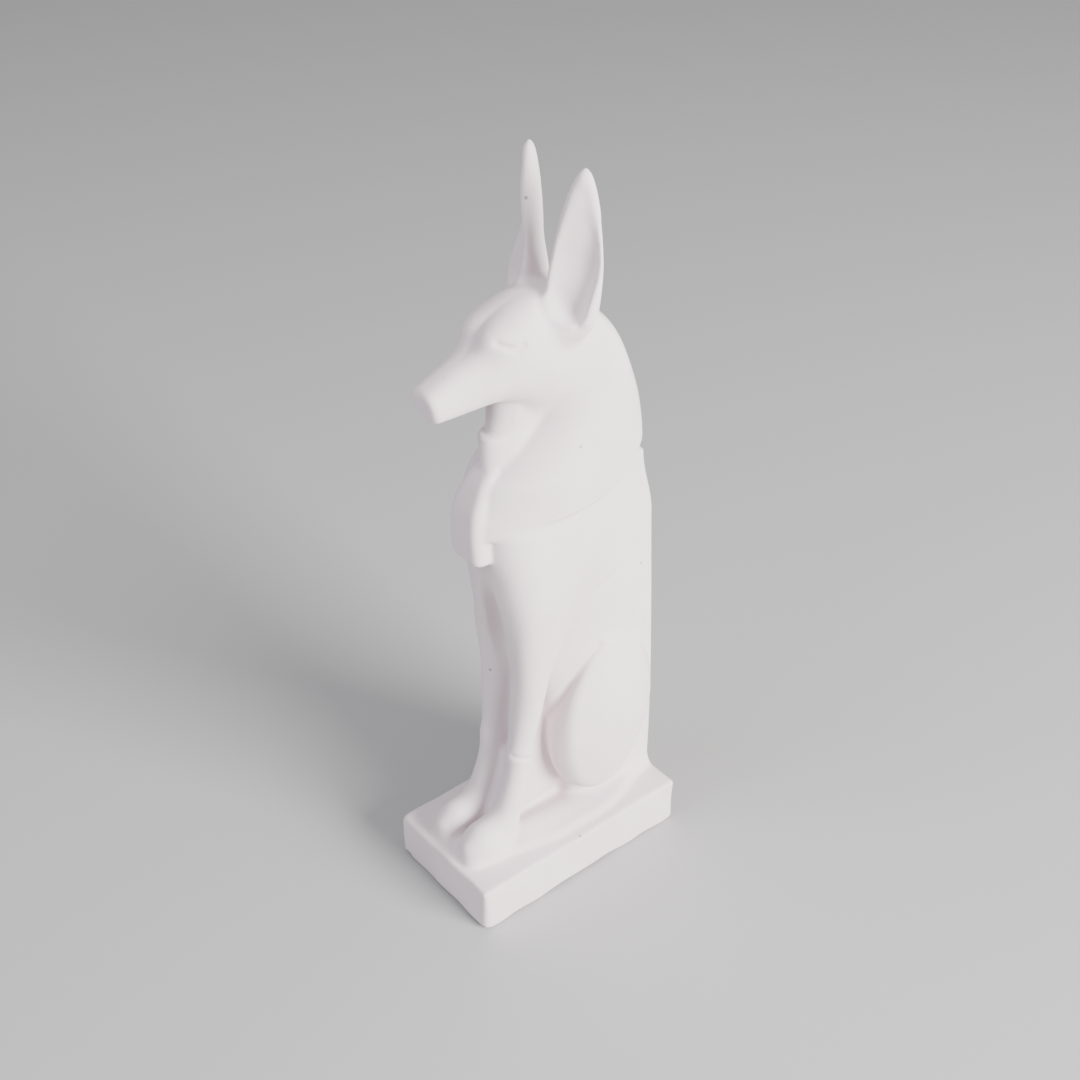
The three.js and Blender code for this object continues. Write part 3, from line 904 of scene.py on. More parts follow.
@dataclass(frozen=True)
class Ear:
    """One tall hollowed leaf turned outwards, the same on both sides.

    Attributes:
        foot: Root of the ear's axis.
        tip: End of the ear's axis.
        turn: How far the face turns outwards, in degrees.
        half_width: Half width at its widest.
        half_depth: Half depth at its root.
        narrowing: Share of the full width, over the share of the length.
        taper: Powers of the law that narrows the leaf towards its tip.
        end: Share of the length beyond which the leaf no longer narrows.
        section: Squareness of the leaf.
        tip_round: Rounding of the tip.
        root: How far the leaf runs on below its root, as a share of the length.
        root_round: Rounding of that end.
        curl: How strongly the outer rim bends forwards, over the height.
        cup: Egg that the root swells to: inwards, out of the face, up.
        cup_fillet: Width of the fillet round it.
        shift: How far inwards the hollow lies, over the height.
        skew: How much deeper the hollow runs along the outer rim.
        bend: Width over which the hollow turns from even to deeper.
        hollow: Width and depth of the hollow against those of the leaf.
        hollow_ends: Height of its foot, and its end as a share of the length.
        lift: How far the hollow's middle lies out of the face, in half depths.
        root_lift: How much more that is at the root, over the height.
        tip_lift: How much more that is at the tip, over the share of the length.
        hollow_rounds: Rounding of the hollow's ends, and where they meet its sides.
        rim_round: Rounding of the rim.
    """

    foot: Triple = (9.9, 4.2, 223.2)
    tip: Triple = (12.6, 6.4, 271.6)
    turn: float = 49.0
    half_width: float = 8.3
    half_depth: float = 4.35
    narrowing: Ramp = Ramp(0.74, 1.0, 0.0, 0.4)
    taper: Pair = (2.3, 0.64)
    end: float = 0.975
    section: float = 2.2
    tip_round: float = 2.6
    root: float = 0.02
    root_round: float = 6.0
    curl: Ramp = Ramp(0.055, 0.033, 8.0, 30.0)
    cup: Egg = Egg((0.8, 1.6, 4.5), (6.6, 6.6, 12.0))
    cup_fillet: float = 6.0
    shift: Ramp = Ramp(4.5, 2.2, 6.0, 30.0)
    skew: float = 0.42
    bend: float = 2.0
    hollow: Pair = (1.22, 1.35)
    hollow_ends: Pair = (2.0, 0.91)
    lift: float = 1.35
    root_lift: Ramp = Ramp(0.45, 0.0, 3.0, 22.0)
    tip_lift: Ramp = Ramp(0.0, 0.9, 0.35, 0.9)
    hollow_rounds: Pair = (4.0, 4.5)
    rim_round: float = 1.6

    @property
    def length(self) -> float:
        """Length of the ear's axis."""
        return float(np.linalg.norm(np.subtract(self.tip, self.foot)))

    def own(self, p: Points) -> Points:
        """Places seen from the ear: inwards across it, out of its face and up its axis.

        On the outer side the face moves forwards with the square of the distance from the
        axis, which bends the rim.

        Args:
            p: Where to read it.

        Returns:
            The same places in the ear's own directions.
        """
        axis = np.subtract(self.tip, self.foot) / self.length
        turn = math.radians(self.turn)
        face = np.array([math.sin(turn), -math.cos(turn), 0.0])
        face = face - (face @ axis) * axis
        face = face / np.linalg.norm(face)
        gap = (p.side - self.foot[0], p.y - self.foot[1], p.z - self.foot[2])
        frame = (np.cross(face, axis), face, axis)
        across, out, height = (gap[0] * d[0] + gap[1] * d[1] + gap[2] * d[2] for d in frame)
        out = out - self.curl.at(height) * np.minimum(across, 0.0) ** 2
        return Points(across, out, height)

    def distance(self, p: Points) -> Array:
        """Leaf with a swollen cup at its root and its hollow taken out.

        The hollow runs out over the inner edge of the leaf and is deepest along its outer
        rim. The half width falls as (1 - t^2.3)^0.64 and the half depth as the square root
        of 1 - t^3, where t is the share of the length.

        Args:
            p: Where to read it.

        Returns:
            Signed distance.
        """
        own = self.own(p)
        across, out, height = own.x, own.y, own.z
        rise = height / self.length
        t = np.clip(rise, 0.0, self.end)
        half_width = self.half_width * (1.0 - t ** self.taper[0]) ** self.taper[1]
        half_width = half_width * self.narrowing.at(t)
        half_depth = self.half_depth * np.sqrt(1.0 - t**3)
        leaf = oval(across, out, half_width, 0.0, half_depth, self.section)
        leaf = overlap(leaf, height - self.length, self.tip_round)
        leaf = overlap(leaf, -height - self.root * self.length, self.root_round)
        leaf = join(leaf, self.cup.distance(own), self.cup_fillet)
        lift = self.lift + self.root_lift.at(height) + self.tip_lift.at(rise)
        inwards = across - self.shift.at(height)
        tilt = self.skew * (across - np.hypot(across, self.bend)) / 2
        wide, deep = half_width * self.hollow[0], half_depth * self.hollow[1]
        hollow = oval(inwards, out - tilt, wide, half_depth * lift, deep, 2.0)
        low, high = self.hollow_ends
        ends = overlap(height - high * self.length, low - height, self.hollow_rounds[0])
        return cut(leaf, overlap(hollow, ends, self.hollow_rounds[1]), self.rim_round)


@dataclass(frozen=True)
class Dent(Egg):
    """Egg-shaped dent: a chip or a shallow hollow.

    Attributes:
        soft: Width of the rounding of its rim.
    """

    soft: float = 0.3

    def pressed(self, p: Points, form: Array) -> Array:
        """Form with the dent in it."""
        return cut(form, self.distance(p), self.soft)


@dataclass(frozen=True)
class Fold:
    """Soft groove along a chain of places.

    Attributes:
        places: Where it runs.
        depth: Its depth.
        width: Distance from its middle at which about a third of the depth is left.
        both: Whether the other side has it too.
    """

    places: tuple[Triple, ...]
    depth: float
    width: float
    both: bool = True

    def sunk(self, p: Points) -> Array:
        """How far the surface sinks: the depth times a bell curve of the distance to the chain.

        Args:
            p: Where to read it.

        Returns:
            Depth of the groove.
        """
        where = p.near if self.both else p
        chain = zip(self.places[:-1], self.places[1:])
        gaps = [Bar(start, end).distance(where) for start, end in chain]
        return self.depth * np.exp(-((np.minimum.reduce(gaps) / self.width) ** 2))


@dataclass(frozen=True)
class Tally:
    """Sums of offsets gathered in the cells of a lattice.

    Attributes:
        total: Sum of the offsets in each cell.
        hits: How many each cell has.
    """

    total: Array
    hits: Array

    @classmethod
    def blank(cls, shape: Sequence[int], width: int) -> Tally:
        """Tally without any offset yet.

        Args:
            shape: Number of cells each way.
            width: How many numbers an offset has.

        Returns:
            The new tally.
        """
        return cls(np.zeros([*shape, width], np.float32), np.zeros(shape, np.float32))

    def add(self, cell: tuple[Array, ...], offset: Array) -> None:
        """Adds one offset to each of the cells.

        Args:
            cell: The cells' places in the lattice.
            offset: One row per cell.
        """
        np.add.at(self.total, cell, offset)
        np.add.at(self.hits, cell, 1.0)

    def mean(self, cell: tuple[Array, ...]) -> Array:
        """Mean offset of each of the cells."""
        return self.total[cell] / self.hits[cell][:, None]


@dataclass(frozen=True)
class SurfaceNet:
    """Closed surface of a form on a fine lattice, flat on the underside.

    Attributes:
        low: Lowest corner of the sampled space.
        high: Highest corner of the sampled space.
        step: Distance between lattice points.
        ratio: How many fine steps make one coarse step.
        margin: How near the surface the fine lattice is read, in coarse steps.
        rounds: How often the vertices are moved towards the surface.
        probe: Distance over which the slope of the form is read.
        stride: Longest move of a vertex in one round, in steps.
        least: Smallest square of the slope that a move counts on.
    """

    low: Triple
    high: Triple
    step: float = 0.6
    ratio: int = 4
    margin: float = 1.6
    rounds: int = 3
    probe: float = 0.05
    stride: float = 0.5
    least: float = 0.2

    def lattice(self, form: Callable[[Points], Array]) -> Array:
        """Form read on the lattice, coarsely first and finely only near the surface.

        Args:
            form: Signed distance of the form.

        Returns:
            Values on the fine lattice; far from the surface only their sign counts.
        """
        size = self.step * self.ratio
        count = [int(math.ceil((h - l) / size)) + 1 for l, h in zip(self.low, self.high)]
        axes = [l + size * np.arange(n) for l, n in zip(self.low, count)]
        x, y, z = np.meshgrid(*axes, indexing="ij")
        coarse = form(Points(x.ravel(), y.ravel(), z.ravel())).reshape(count)
        near = np.abs(coarse) < size * self.margin
        cell = np.zeros([n - 1 for n in count], bool)
        for corner in product((0, 1), repeat=3):
            cell |= near[tuple(slice(c, c + n) for c, n in zip(corner, cell.shape))]
        fine = coarse[:-1, :-1, :-1].astype(np.float32)
        live = cell
        for axis in range(3):
            fine = np.repeat(fine, self.ratio, axis=axis)
            live = np.repeat(live, self.ratio, axis=axis)
        where = np.nonzero(live)
        spots = [l + self.step * w for l, w in zip(self.low, where)]
        fine[where] = form(Points(*spots))
        return fine

    def surface(self, form: Callable[[Points], Array]) -> tuple[Array, Array]:
        """Vertices and four-sided faces of the form's surface.

        Each cell of the lattice that the surface passes through gets one vertex, the mean of
        the places where the cell's edges cross the surface. Each lattice edge that crosses
        it gets one face that joins the four cells round it. The vertices then move along
        the slope of the form until they lie on it. Cells of the lowest layer lie at height 0.

        Args:
            form: Signed distance of the form.

        Returns:
            Vertices as rows of x, y, z, and faces as rows of four vertex numbers.
        """
        value = self.lattice(form)
        value = np.where(value == 0.0, np.float32(1e-5), value)
        value[:, :, 0] = 1.0
        shape = [n - 1 for n in value.shape]
        solid, flat = Tally.blank(shape, 3), Tally.blank(shape[:2], 2)
        edges = [self.crossings(value, axis, solid, flat) for axis in range(3)]
        cells = np.nonzero(solid.hits > 0.0)
        number = np.full(shape, -1, np.int64)
        number[cells] = np.arange(len(cells[0]))
        offset = solid.mean(cells)
        ground = cells[2] == 0
        rim = ground & (flat.hits[cells[0], cells[1]] > 0.0)
        offset[rim, :2] = flat.mean((cells[0][rim], cells[1][rim]))
        points = np.stack(cells, axis=-1) * self.step + np.array(self.low) + offset * self.step
        points[ground, 2] = 0.0
        return self.settle(form, points, ground, rim), self.faces(edges, number)

    def crossings(self, value: Array, axis: int, solid: Tally, flat: Tally) -> tuple[tuple, Array]:
        """Lattice edges along one axis that cross the surface, told to the cells round them.

        Args:
            value: Values on the lattice.
            axis: Direction of the edges.
            solid: Takes the place of each crossing in its cells.
            flat: Takes those of the lowest layer, seen from above.

        Returns:
            The crossed edges and whether their lower end is inside.
        """
        lower, upper = [slice(None)] * 3, [slice(None)] * 3
        lower[axis], upper[axis] = slice(0, -1), slice(1, None)
        a, b = value[tuple(lower)], value[tuple(upper)]
        spot = np.nonzero((a < 0.0) != (b < 0.0))
        share = a[spot] / (a[spot] - b[spot])
        first, second = (k for k in range(3) if k != axis)
        for du, dv in product((0, 1), repeat=2):
            cell = list(spot)
            cell[first] = spot[first] - du
            cell[second] = spot[second] - dv
            kept = np.all([(c >= 0) & (c < n) for c, n in zip(cell, solid.hits.shape)], axis=0)
            offset = np.zeros((len(share), 3), np.float32)
            offset[:, axis] = share
            offset[:, first] = du
            offset[:, second] = dv
            solid.add(tuple(c[kept] for c in cell), offset[kept])
            if axis < 2:
                floor = kept & (spot[2] == 1) & (cell[2] == 0)
                flat.add(tuple(c[floor] for c in cell[:2]), offset[floor, :2])
        return spot, a[spot] < 0.0

    def faces(self, edges: list, number: Array) -> Array:
        """Four-sided faces round the crossed lattice edges.

        Args:
            edges: For each axis the crossed edges and whether their lower end is inside.
            number: Vertex number of each cell.

        Returns:
            Faces as rows of four vertex numbers, facing outwards.
        """
        found = []
        for axis, (spot, inside) in enumerate(edges):
            first, second = (axis + 1) % 3, (axis + 2) % 3
            ring = []
            for du, dv in ((1, 1), (0, 1), (0, 0), (1, 0)):
                cell = list(spot)
                cell[first] = spot[first] - du
                cell[second] = spot[second] - dv
                ring.append(number[tuple(cell)])
            quad = np.stack(ring, axis=-1)
            found.append(np.where(inside[:, None], quad, quad[:, ::-1]))
        return np.concatenate(found)

    def settle(
        self, form: Callable[[Points], Array], points: Array, ground: Array, rim: Array
    ) -> Array:
        """Moves vertices along the slope of the form until they lie on it.

        Args:
            form: Signed distance of the form.
            points: Vertices as rows.
            ground: Which vertices lie on the underside.
            rim: Which of them lie on its outline; these slide level.

        Returns:
            The moved vertices.
        """
        moving = ~ground | rim
        spot = points[moving]
        level = rim[moving]
        for _ in range(self.rounds):
            here = form(Points(*spot.T))
            slope = np.zeros_like(spot)
            for axis in range(3):
                shifted = spot.copy()
                shifted[:, axis] += self.probe
                slope[:, axis] = (form(Points(*shifted.T)) - here) / self.probe
            slope[level, 2] = 0.0
            square = np.maximum((slope**2).sum(axis=1), self.least)
            push = slope * (here / square)[:, None]
            size = np.linalg.norm(push, axis=1, keepdims=True)
            spot -= push * np.minimum(1.0, self.stride * self.step / np.maximum(size, TINY))
        points[moving] = spot
        return points


class Kind(Enum):
    """Kinds of fine relief that the solid leaves out: folds, dents, worn edge and skin."""

    FOLDS = "folds"
    DENTS = "dents"
    EDGE = "edge"
    SKIN = "skin"


@dataclass(frozen=True)
class Wear:
    """Fine folds of the carving, and what the mould and the years left on the casting.

    Attributes:
        kinds: Which kinds of relief are shown.
        wrist: Crease above the near paw.
        wall: Fold where the wall between the legs meets the pad.
        haunch: Crease along the haunch's front.
        eye: Worn fold of the eye.
        ear: Fold round the ear's root.
        hollow: Valley of the ear's hollow.
        shoulder: Faint line of the shoulder.
        bubbles: The two largest open air bubbles.
        chips: Hollow of the plinth's side, two chips of its far corner, a notch in its lower
            edge and the worn near corner.
        plan: Half width and half length of the plinth.
        edge: Height of the waves of the plinth's lower edge.
        edge_mean: Mean and swing of the waves, in shares of their height.
        edge_ripple: Their course.
        edge_depth: How far in from the sides they reach.
        edge_round: Rounding of the lower edge.
        front: How much more the lower edge rises at the front, along.
        side: Depth of the waves of the plinth's sides.
        side_ripple: Their course.
        side_depth: How far in from the sides they reach.
        side_top: Heights between which they end.
        skin: Height of the slow unevenness of the surface.
        skin_ripple: Its course.
    """

    kinds: tuple[Kind, ...] = tuple(Kind)
    wrist: Fold = Fold(
        ((8.9, -19.4, 58.4), (10.4, -18.5, 58.2), (11.5, -16.7, 57.5), (11.6, -13.6, 55.9)),
        depth=0.8,
        width=0.9,
        both=False,
    )
    wall: Fold = Fold(
        (
            (4.9, -9.3, 22.5),
            (4.4, -5.2, 22.5),
            (3.8, 0.0, 22.9),
            (3.6, 4.9, 23.7),
            (5.9, 6.8, 27.9),
        ),
        depth=1.3,
        width=2.0,
    )
    haunch: Fold = Fold(
        (
            (6.6, 0.3, 66.3),
            (9.6, 1.2, 73.4),
            (11.1, 3.0, 78.2),
            (12.4, 5.2, 82.6),
            (13.1, 8.0, 87.4),
            (13.6, 11.3, 91.8),
            (13.8, 14.6, 94.0),
        ),
        depth=0.8,
        width=1.8,
    )
    eye: Fold = Fold(
        (
            (7.8, -21.8, 223.1),
            (8.7, -20.9, 222.6),
            (10.0, -18.6, 221.4),
            (10.8, -16.7, 221.0),
            (11.0, -15.0, 221.8),
        ),
        depth=0.9,
        width=1.1,
    )
    ear: Fold = Fold(
        (
            (7.2, -5.6, 230.3),
            (10.2, -6.5, 227.3),
            (12.2, -5.2, 225.1),
            (14.1, -3.7, 224.0),
            (16.0, -1.1, 223.2),
            (16.4, 2.6, 224.0),
        ),
        depth=0.5,
        width=1.6,
    )
    hollow: Fold = Fold(
        (
            (15.6, 8.3, 254.3),
            (15.2, 8.8, 246.2),
            (14.7, 8.0, 238.2),
            (13.9, 6.2, 232.0),
            (12.6, 3.5, 227.1),
        ),
        depth=0.3,
        width=2.2,
    )
    shoulder: Fold = Fold(
        (
            (15.2, 23.5, 124.8),
            (15.4, 10.7, 119.9),
            (14.8, 5.3, 114.2),
            (13.2, 0.7, 105.1),
            (12.4, -2.0, 97.0),
            (11.0, -4.5, 87.0),
        ),
        depth=0.3,
        width=1.3,
    )
    bubbles: tuple[Dent, ...] = (
        Dent((16.9, 3.0, 181.9), (0.9, 0.9, 0.9)),
        Dent((25.5, -35.2, 10.2), (1.0, 0.9, 1.0)),
    )
    chips: tuple[Dent, ...] = (
        Dent((26.2, -28.8, 16.6), (1.7, 9.0, 2.6), 0.8),
        Dent((-26.4, -45.6, 20.0), (4.2, 3.6, 3.0), 0.8),
        Dent((-21.6, -46.0, 1.6), (2.4, 2.0, 2.8), 0.5),
        Dent((26.0, 3.4, 0.0), (1.7, 1.5, 1.9), 0.4),
        Dent((27.2, -46.9, 6.0), (4.0, 4.0, 16.0), 1.5),
    )
    plan: Pair = (25.2, 44.9)
    edge: float = 1.7
    edge_mean: Pair = (0.45, 0.55)
    edge_ripple: Ripple = Ripple(1.9, 19.0)
    edge_depth: float = 4.5
    edge_round: float = 1.0
    front: Ramp = Ramp(0.0, 0.7, -41.0, -44.0)
    side: float = 0.38
    side_ripple: Ripple = Ripple(4.2, 15.0)
    side_depth: float = 3.0
    side_top: Pair = (20.0, 17.0)
    skin: float = 0.07
    skin_ripple: Ripple = Ripple(0.6, 23.0)

    @property
    def folds(self) -> tuple[Fold, ...]:
        """All the soft grooves."""
        carved = (self.wrist, self.wall, self.haunch, self.eye)
        return (*carved, self.ear, self.hollow, self.shoulder)

    def worn_edge(self, p: Points, form: Array) -> Array:
        """Form whose plinth has wavy sides and a lower edge that rises and falls.

        Within a few millimetres of its sides the underside lifts by the height of a slow
        wave, most along the front; the middle of the underside stays flat.

        Args:
            p: Where to read it.
            form: Signed distance before.

        Returns:
            Signed distance after.
        """
        level = Points(p.x, p.y, np.zeros_like(p.z))
        inward = np.minimum(self.plan[0] - p.side, self.plan[1] - np.abs(p.y))
        mean, swing = self.edge_mean
        lift = self.edge * (mean + swing * self.edge_ripple.at(level)) + self.front.at(p.y)
        lift = np.maximum(lift, 0.0) * ease(self.edge_depth, 0.0, inward)
        waves = self.side * (1.0 + self.side_ripple.at(p)) * ease(*self.side_top, p.z)
        form = form + waves * ease(self.side_depth, 0.0, inward)
        return overlap(form, lift - p.z, self.edge_round)

    def distance(self, p: Points, form: Array) -> Array:
        """Form with its fine relief and wear.

        Args:
            p: Where to read it.
            form: Signed distance of the form without them.

        Returns:
            Signed distance of the worn form.
        """
        if Kind.SKIN in self.kinds:
            form = form + self.skin * (1.0 + self.skin_ripple.at(p))
        if Kind.FOLDS in self.kinds:
            form = form + sum(fold.sunk(p) for fold in self.folds)
        if Kind.EDGE in self.kinds:
            form = self.worn_edge(p, form)
        if Kind.DENTS in self.kinds:
            for dent in (*self.bubbles, *self.chips):
                form = dent.pressed(p, form)
        return form


@dataclass(frozen=True)
class Casting:
    """The whole statue: one plaster casting.

    Attributes:
        base: Plinth and pad.
        body: Trunk, legs and pillar.
        wig: Hair, neck and bib.
        head: Head without the ears.
        ear: Both ears.
        wear: What the mould and the years left.
        neck_fillet: Width of the fillet between hair and neck.
        cheek_fillet: Width of that between head and hair, along.
        ear_fillet: Width of that round the ears.
        bib_fillet: Width of that round the bib.
        nape_fillet: Width of that between hair and body, along.
        base_fillet: Width of that between body and base.
        room: Half width, half length and height of the sampled space.
        crown: Share of the height above which the ears are fitted under the box's top.
        limit: Largest number of triangles of the fine surface.
    """

    base: Base = Base()
    body: Body = Body()
    wig: Wig = Wig()
    head: Head = Head()
    ear: Ear = Ear()
    wear: Wear = Wear()
    neck_fillet: float = 1.5
    cheek_fillet: Ramp = Ramp(1.4, 8.4, -14.0, -2.0)
    ear_fillet: float = 3.2
    bib_fillet: float = 0.8
    nape_fillet: Ramp = Ramp(0.9, 3.9, 26.0, 36.0)
    base_fillet: float = 3.5
    room: Triple = (27.0, 47.4, 274.2)
    crown: float = 0.9
    limit: int = 190000

    def distance(self, p: Points) -> Array:
        """Signed distance to the casting.

        Args:
            p: Where to read it.

        Returns:
            Distances, below zero inside.
        """
        upper = join(self.wig.hanging(p), self.wig.throat(p), self.neck_fillet)
        upper = join(upper, self.head.distance(p), self.cheek_fillet.at(p.y))
        upper = join(upper, self.ear.distance(p), self.ear_fillet)
        upper = join(upper, self.wig.bib(p), self.bib_fillet)
        whole = join(self.body.distance(p), upper, self.nape_fillet.at(p.y))
        whole = join(whole, self.base.distance(p), self.base_fillet)
        return self.wear.distance(p, whole)

    def surface(self, top: float) -> bpy.types.Mesh:
        """Surface of the casting, its ears squeezed evenly until they end at the top.

        Args:
            top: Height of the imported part, in millimetres.

        Returns:
            The new mesh.
        """
        width, length, height = self.room
        net = SurfaceNet(low=(-width, -length, -SurfaceNet.step), high=(width, length, height))
        points, faces = net.surface(self.distance)
        LOG.info("surface of %d vertices and %d faces", len(points), len(faces))
        crown = self.crown * top
        over = points[:, 2] > crown
        squeeze = (top - crown) / (points[:, 2].max() - crown)
        points[over, 2] = crown + (points[over, 2] - crown) * min(1.0, squeeze)
        return mesh_from(points * MM, faces, "casting_surface")

    def thinned(self, surface: bpy.types.Mesh) -> bpy.types.Mesh:
        """Mesh thinned to the limit, in place of the full one.

        Args:
            surface: The full mesh, which is removed.

        Returns:
            The new mesh.
        """
        holder = bpy.data.objects.new("casting_surface", surface)
        bpy.context.collection.objects.link(holder)
        thin = holder.modifiers.new("thin", "DECIMATE")
        thin.ratio = min(1.0, self.limit / (2.0 * len(surface.polygons)))
        shown = holder.evaluated_get(bpy.context.evaluated_depsgraph_get())
        mesh = bpy.data.meshes.new_from_object(shown)
        mesh.name = "jackal_casting"
        bpy.data.objects.remove(holder)
        bpy.data.meshes.remove(surface)
        return mesh

    def build(self, low: Vector, high: Vector) -> bpy.types.Object:
        """Fine surface of the casting as one mesh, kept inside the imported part's box.

        Args:
            low: Lowest corner of the box, in metres.
            high: Highest corner of the box, in metres.

        Returns:
            The new object.
        """
        mesh = self.thinned(self.surface(high.z / MM))
        spots = np.empty(len(mesh.vertices) * 3, np.float32)
        mesh.vertices.foreach_get("co", spots)
        spots = np.clip(spots.reshape(-1, 3), np.array(low), np.array(high))
        mesh.vertices.foreach_set("co", spots.ravel().astype(np.float32))
        mesh.polygons.foreach_set("use_smooth", np.ones(len(mesh.polygons), bool))
        mesh.update()
        piece = bpy.data.objects.new("jackal_casting", mesh)
        bpy.context.collection.objects.link(piece)
        LOG.info("%s: %d triangles", piece.name, len(mesh.polygons))
        return piece


def mesh_from(points: Array, faces: Array, name: str) -> bpy.types.Mesh:
    """Mesh of four-sided faces.

    Args:
        points: Vertices as rows, in metres.
        faces: Vertex numbers as rows of four.
        name: Name of the mesh.

    Returns:
        The new mesh.
    """
    mesh = bpy.data.meshes.new(name)
    mesh.vertices.add(len(points))
    mesh.vertices.foreach_set("co", points.astype(np.float32).ravel())
    mesh.loops.add(faces.size)
    mesh.loops.foreach_set("vertex_index", faces.astype(np.int32).ravel())
    mesh.polygons.add(len(faces))
    mesh.polygons.foreach_set("loop_start", np.arange(0, faces.size, 4, dtype=np.int32))
    mesh.update(calc_edges=True)
    return mesh


@dataclass(frozen=True)
class NodeNet:
    """Short ways to add nodes to a material.

    Attributes:
        tree: The material's node tree.
    """

    tree: bpy.types.NodeTree

    def fill(self, node: bpy.types.Node, values: Inputs) -> bpy.types.Node:
        """Sets or links the inputs of a node.

        Args:
            node: The node.
            values: For each input its value, or the output that feeds it.

        Returns:
            The same node.
        """
        for name, value in values.items():
            if isinstance(value, Socket):
                self.tree.links.new(value, node.inputs[name])
            else:
                node.inputs[name].default_value = value
        return node

    def add(self, kind: str, values: Inputs) -> bpy.types.Node:
        """New node of a kind with its inputs filled."""
        return self.fill(self.tree.nodes.new(kind), values)

    def spread(self, source: Socket, span: Pair, to: Pair) -> Socket:
        """Even change from one value to another over a span of the source, level beyond it.

        Args:
            source: What is read.
            span: Values of the source at the start and the end.
            to: Values given there.

        Returns:
            The output that carries the change.
        """
        values = {"Value": source, "From Min": span[0], "From Max": span[1]}
        node = self.add("ShaderNodeMapRange", {**values, "To Min": to[0], "To Max": to[1]})
        return node.outputs["Result"]

    def blend(self, kind: str, values: Inputs) -> Socket:
        """Colour made of two.

        Args:
            kind: How the second acts on the first.
            values: The two colours and the share of the second.

        Returns:
            The output that carries the colour.
        """
        node = self.tree.nodes.new("ShaderNodeMix")
        node.data_type = "RGBA"
        node.blend_type = kind
        return self.fill(node, values).outputs["Result"]


@dataclass(frozen=True)
class Plaster:
    """Matte cast plaster with a slight change of tone, fine tooth, and open air bubbles darkened by
    painted shade.

    Attributes:
        light: Lighter tone.
        dark: Darker tone.
        cloud: Waves per metre of the change of tone, and the number of finer layers.
        contrast: Values of the clouds that give the darker and the lighter tone.
        grain: Waves per metre of the tooth, and the number of finer layers.
        speckle: How strongly the tooth darkens the tone.
        rough: Roughness at both ends of the clouds.
        sheen: Strength of the mirror-like part.
        tooth: Height of the tooth, in metres.
        pinholes: Pinholes per metre.
        hole: Depth of the pinholes, in metres.
        hole_rim: Where a pinhole's wall begins and ends, in spacings of the pinholes.
        strength: How strongly the tooth and the pinholes bend the light.
        bubbles: Where the larger bubbles lie, in millimetres.
        radius: Radius of the larger bubbles, in metres.
        bubble_rim: Where the painted shade of a larger bubble begins and ends, in radii.
        painted_bubble_shade: Share of the light left by the painted shade in a larger bubble.
    """

    light: Colour = (0.87, 0.775, 0.795, 1.0)
    dark: Colour = (0.82, 0.725, 0.745, 1.0)
    cloud: Pair = (38.0, 4.0)
    contrast: Pair = (0.35, 0.65)
    grain: Pair = (2600.0, 3.0)
    speckle: float = 0.12
    rough: Pair = (0.78, 0.95)
    sheen: float = 0.25
    tooth: float = 0.00004
    pinholes: float = 210.0
    hole: float = 0.0002
    hole_rim: Pair = (0.03, 0.07)
    strength: Pair = (0.5, 0.6)
    bubbles: tuple[Triple, ...] = (
        (16.5, 3.0, 181.7),
        (25.2, -35.2, 10.2),
        (-5.9, -17.0, 86.9),
        (24.0, -0.7, 19.0),
        (11.8, 34.9, 118.4),
        (-7.7, 1.3, 256.1),
    )
    radius: float = 0.00055
    bubble_rim: Pair = (0.6, 1.4)
    painted_bubble_shade: float = 0.45

    def colour(self, net: NodeNet, place: Socket, cloud: Socket, grain: Socket) -> Socket:
        """Tone that drifts between the two, specked by the tooth, with painted shade darkening the
        bubbles.

        Args:
            net: Adds the nodes.
            place: Coordinates of the object.
            cloud: Slow noise.
            grain: Fine noise.

        Returns:
            The output that carries the colour.
        """
        share = net.spread(cloud, self.contrast, (0.0, 1.0))
        colour = net.blend("MIX", {"Factor": share, "A": self.dark, "B": self.light})
        colour = net.blend("MULTIPLY", {"Factor": self.speckle, "A": colour, "B": grain})
        rim = (self.radius * self.bubble_rim[0], self.radius * self.bubble_rim[1])
        # Painted shade: the colour is darkened round each larger bubble in place of the shade inside
        # the pit.
        for bubble in self.bubbles:
            gap = net.add("ShaderNodeVectorMath", {0: place, 1: [value * MM for value in bubble]})
            gap.operation = "DISTANCE"
            shade = net.spread(gap.outputs["Value"], rim, (self.painted_bubble_shade, 1.0))
            colour = net.blend("MULTIPLY", {"Factor": 1.0, "A": colour, "B": shade})
        return colour

    def relief(self, net: NodeNet, place: Socket, grain: Socket) -> Socket:
        """Fine bump of the tooth with scattered pinholes.

        Args:
            net: Adds the nodes.
            place: Coordinates of the object.
            grain: Fine noise.

        Returns:
            The output that carries the bent normal.
        """
        cells = net.add("ShaderNodeTexVoronoi", {"Scale": self.pinholes, "Vector": place})
        wall = net.spread(cells.outputs["Distance"], self.hole_rim, (0.0, 1.0))
        values = {"Strength": self.strength[0], "Distance": self.tooth, "Height": grain}
        tooth = net.add("ShaderNodeBump", values).outputs["Normal"]
        values = {"Strength": self.strength[1], "Distance": self.hole, "Height": wall}
        values["Normal"] = tooth
        return net.add("ShaderNodeBump", values).outputs["Normal"]

    def build(self) -> bpy.types.Material:
        """Material of the finish.

        Returns:
            The new material.
        """
        material = bpy.data.materials.new("cast plaster")
        material.use_nodes = True
        net = NodeNet(material.node_tree)
        place = net.add("ShaderNodeTexCoord", {}).outputs["Object"]
        cloud, grain = (
            net.add("ShaderNodeTexNoise", {"Scale": scale, "Detail": detail, "Vector": place})
            for scale, detail in (self.cloud, self.grain)
        )
        cloud, grain = cloud.outputs["Fac"], grain.outputs["Fac"]
        values = {
            "Base Color": self.colour(net, place, cloud, grain),
            "Roughness": net.spread(cloud, (0.0, 1.0), self.rough),
            "Specular IOR Level": self.sheen,
            "Normal": self.relief(net, place, grain),
        }
        net.fill(material.node_tree.nodes["Principled BSDF"], values)
        return material


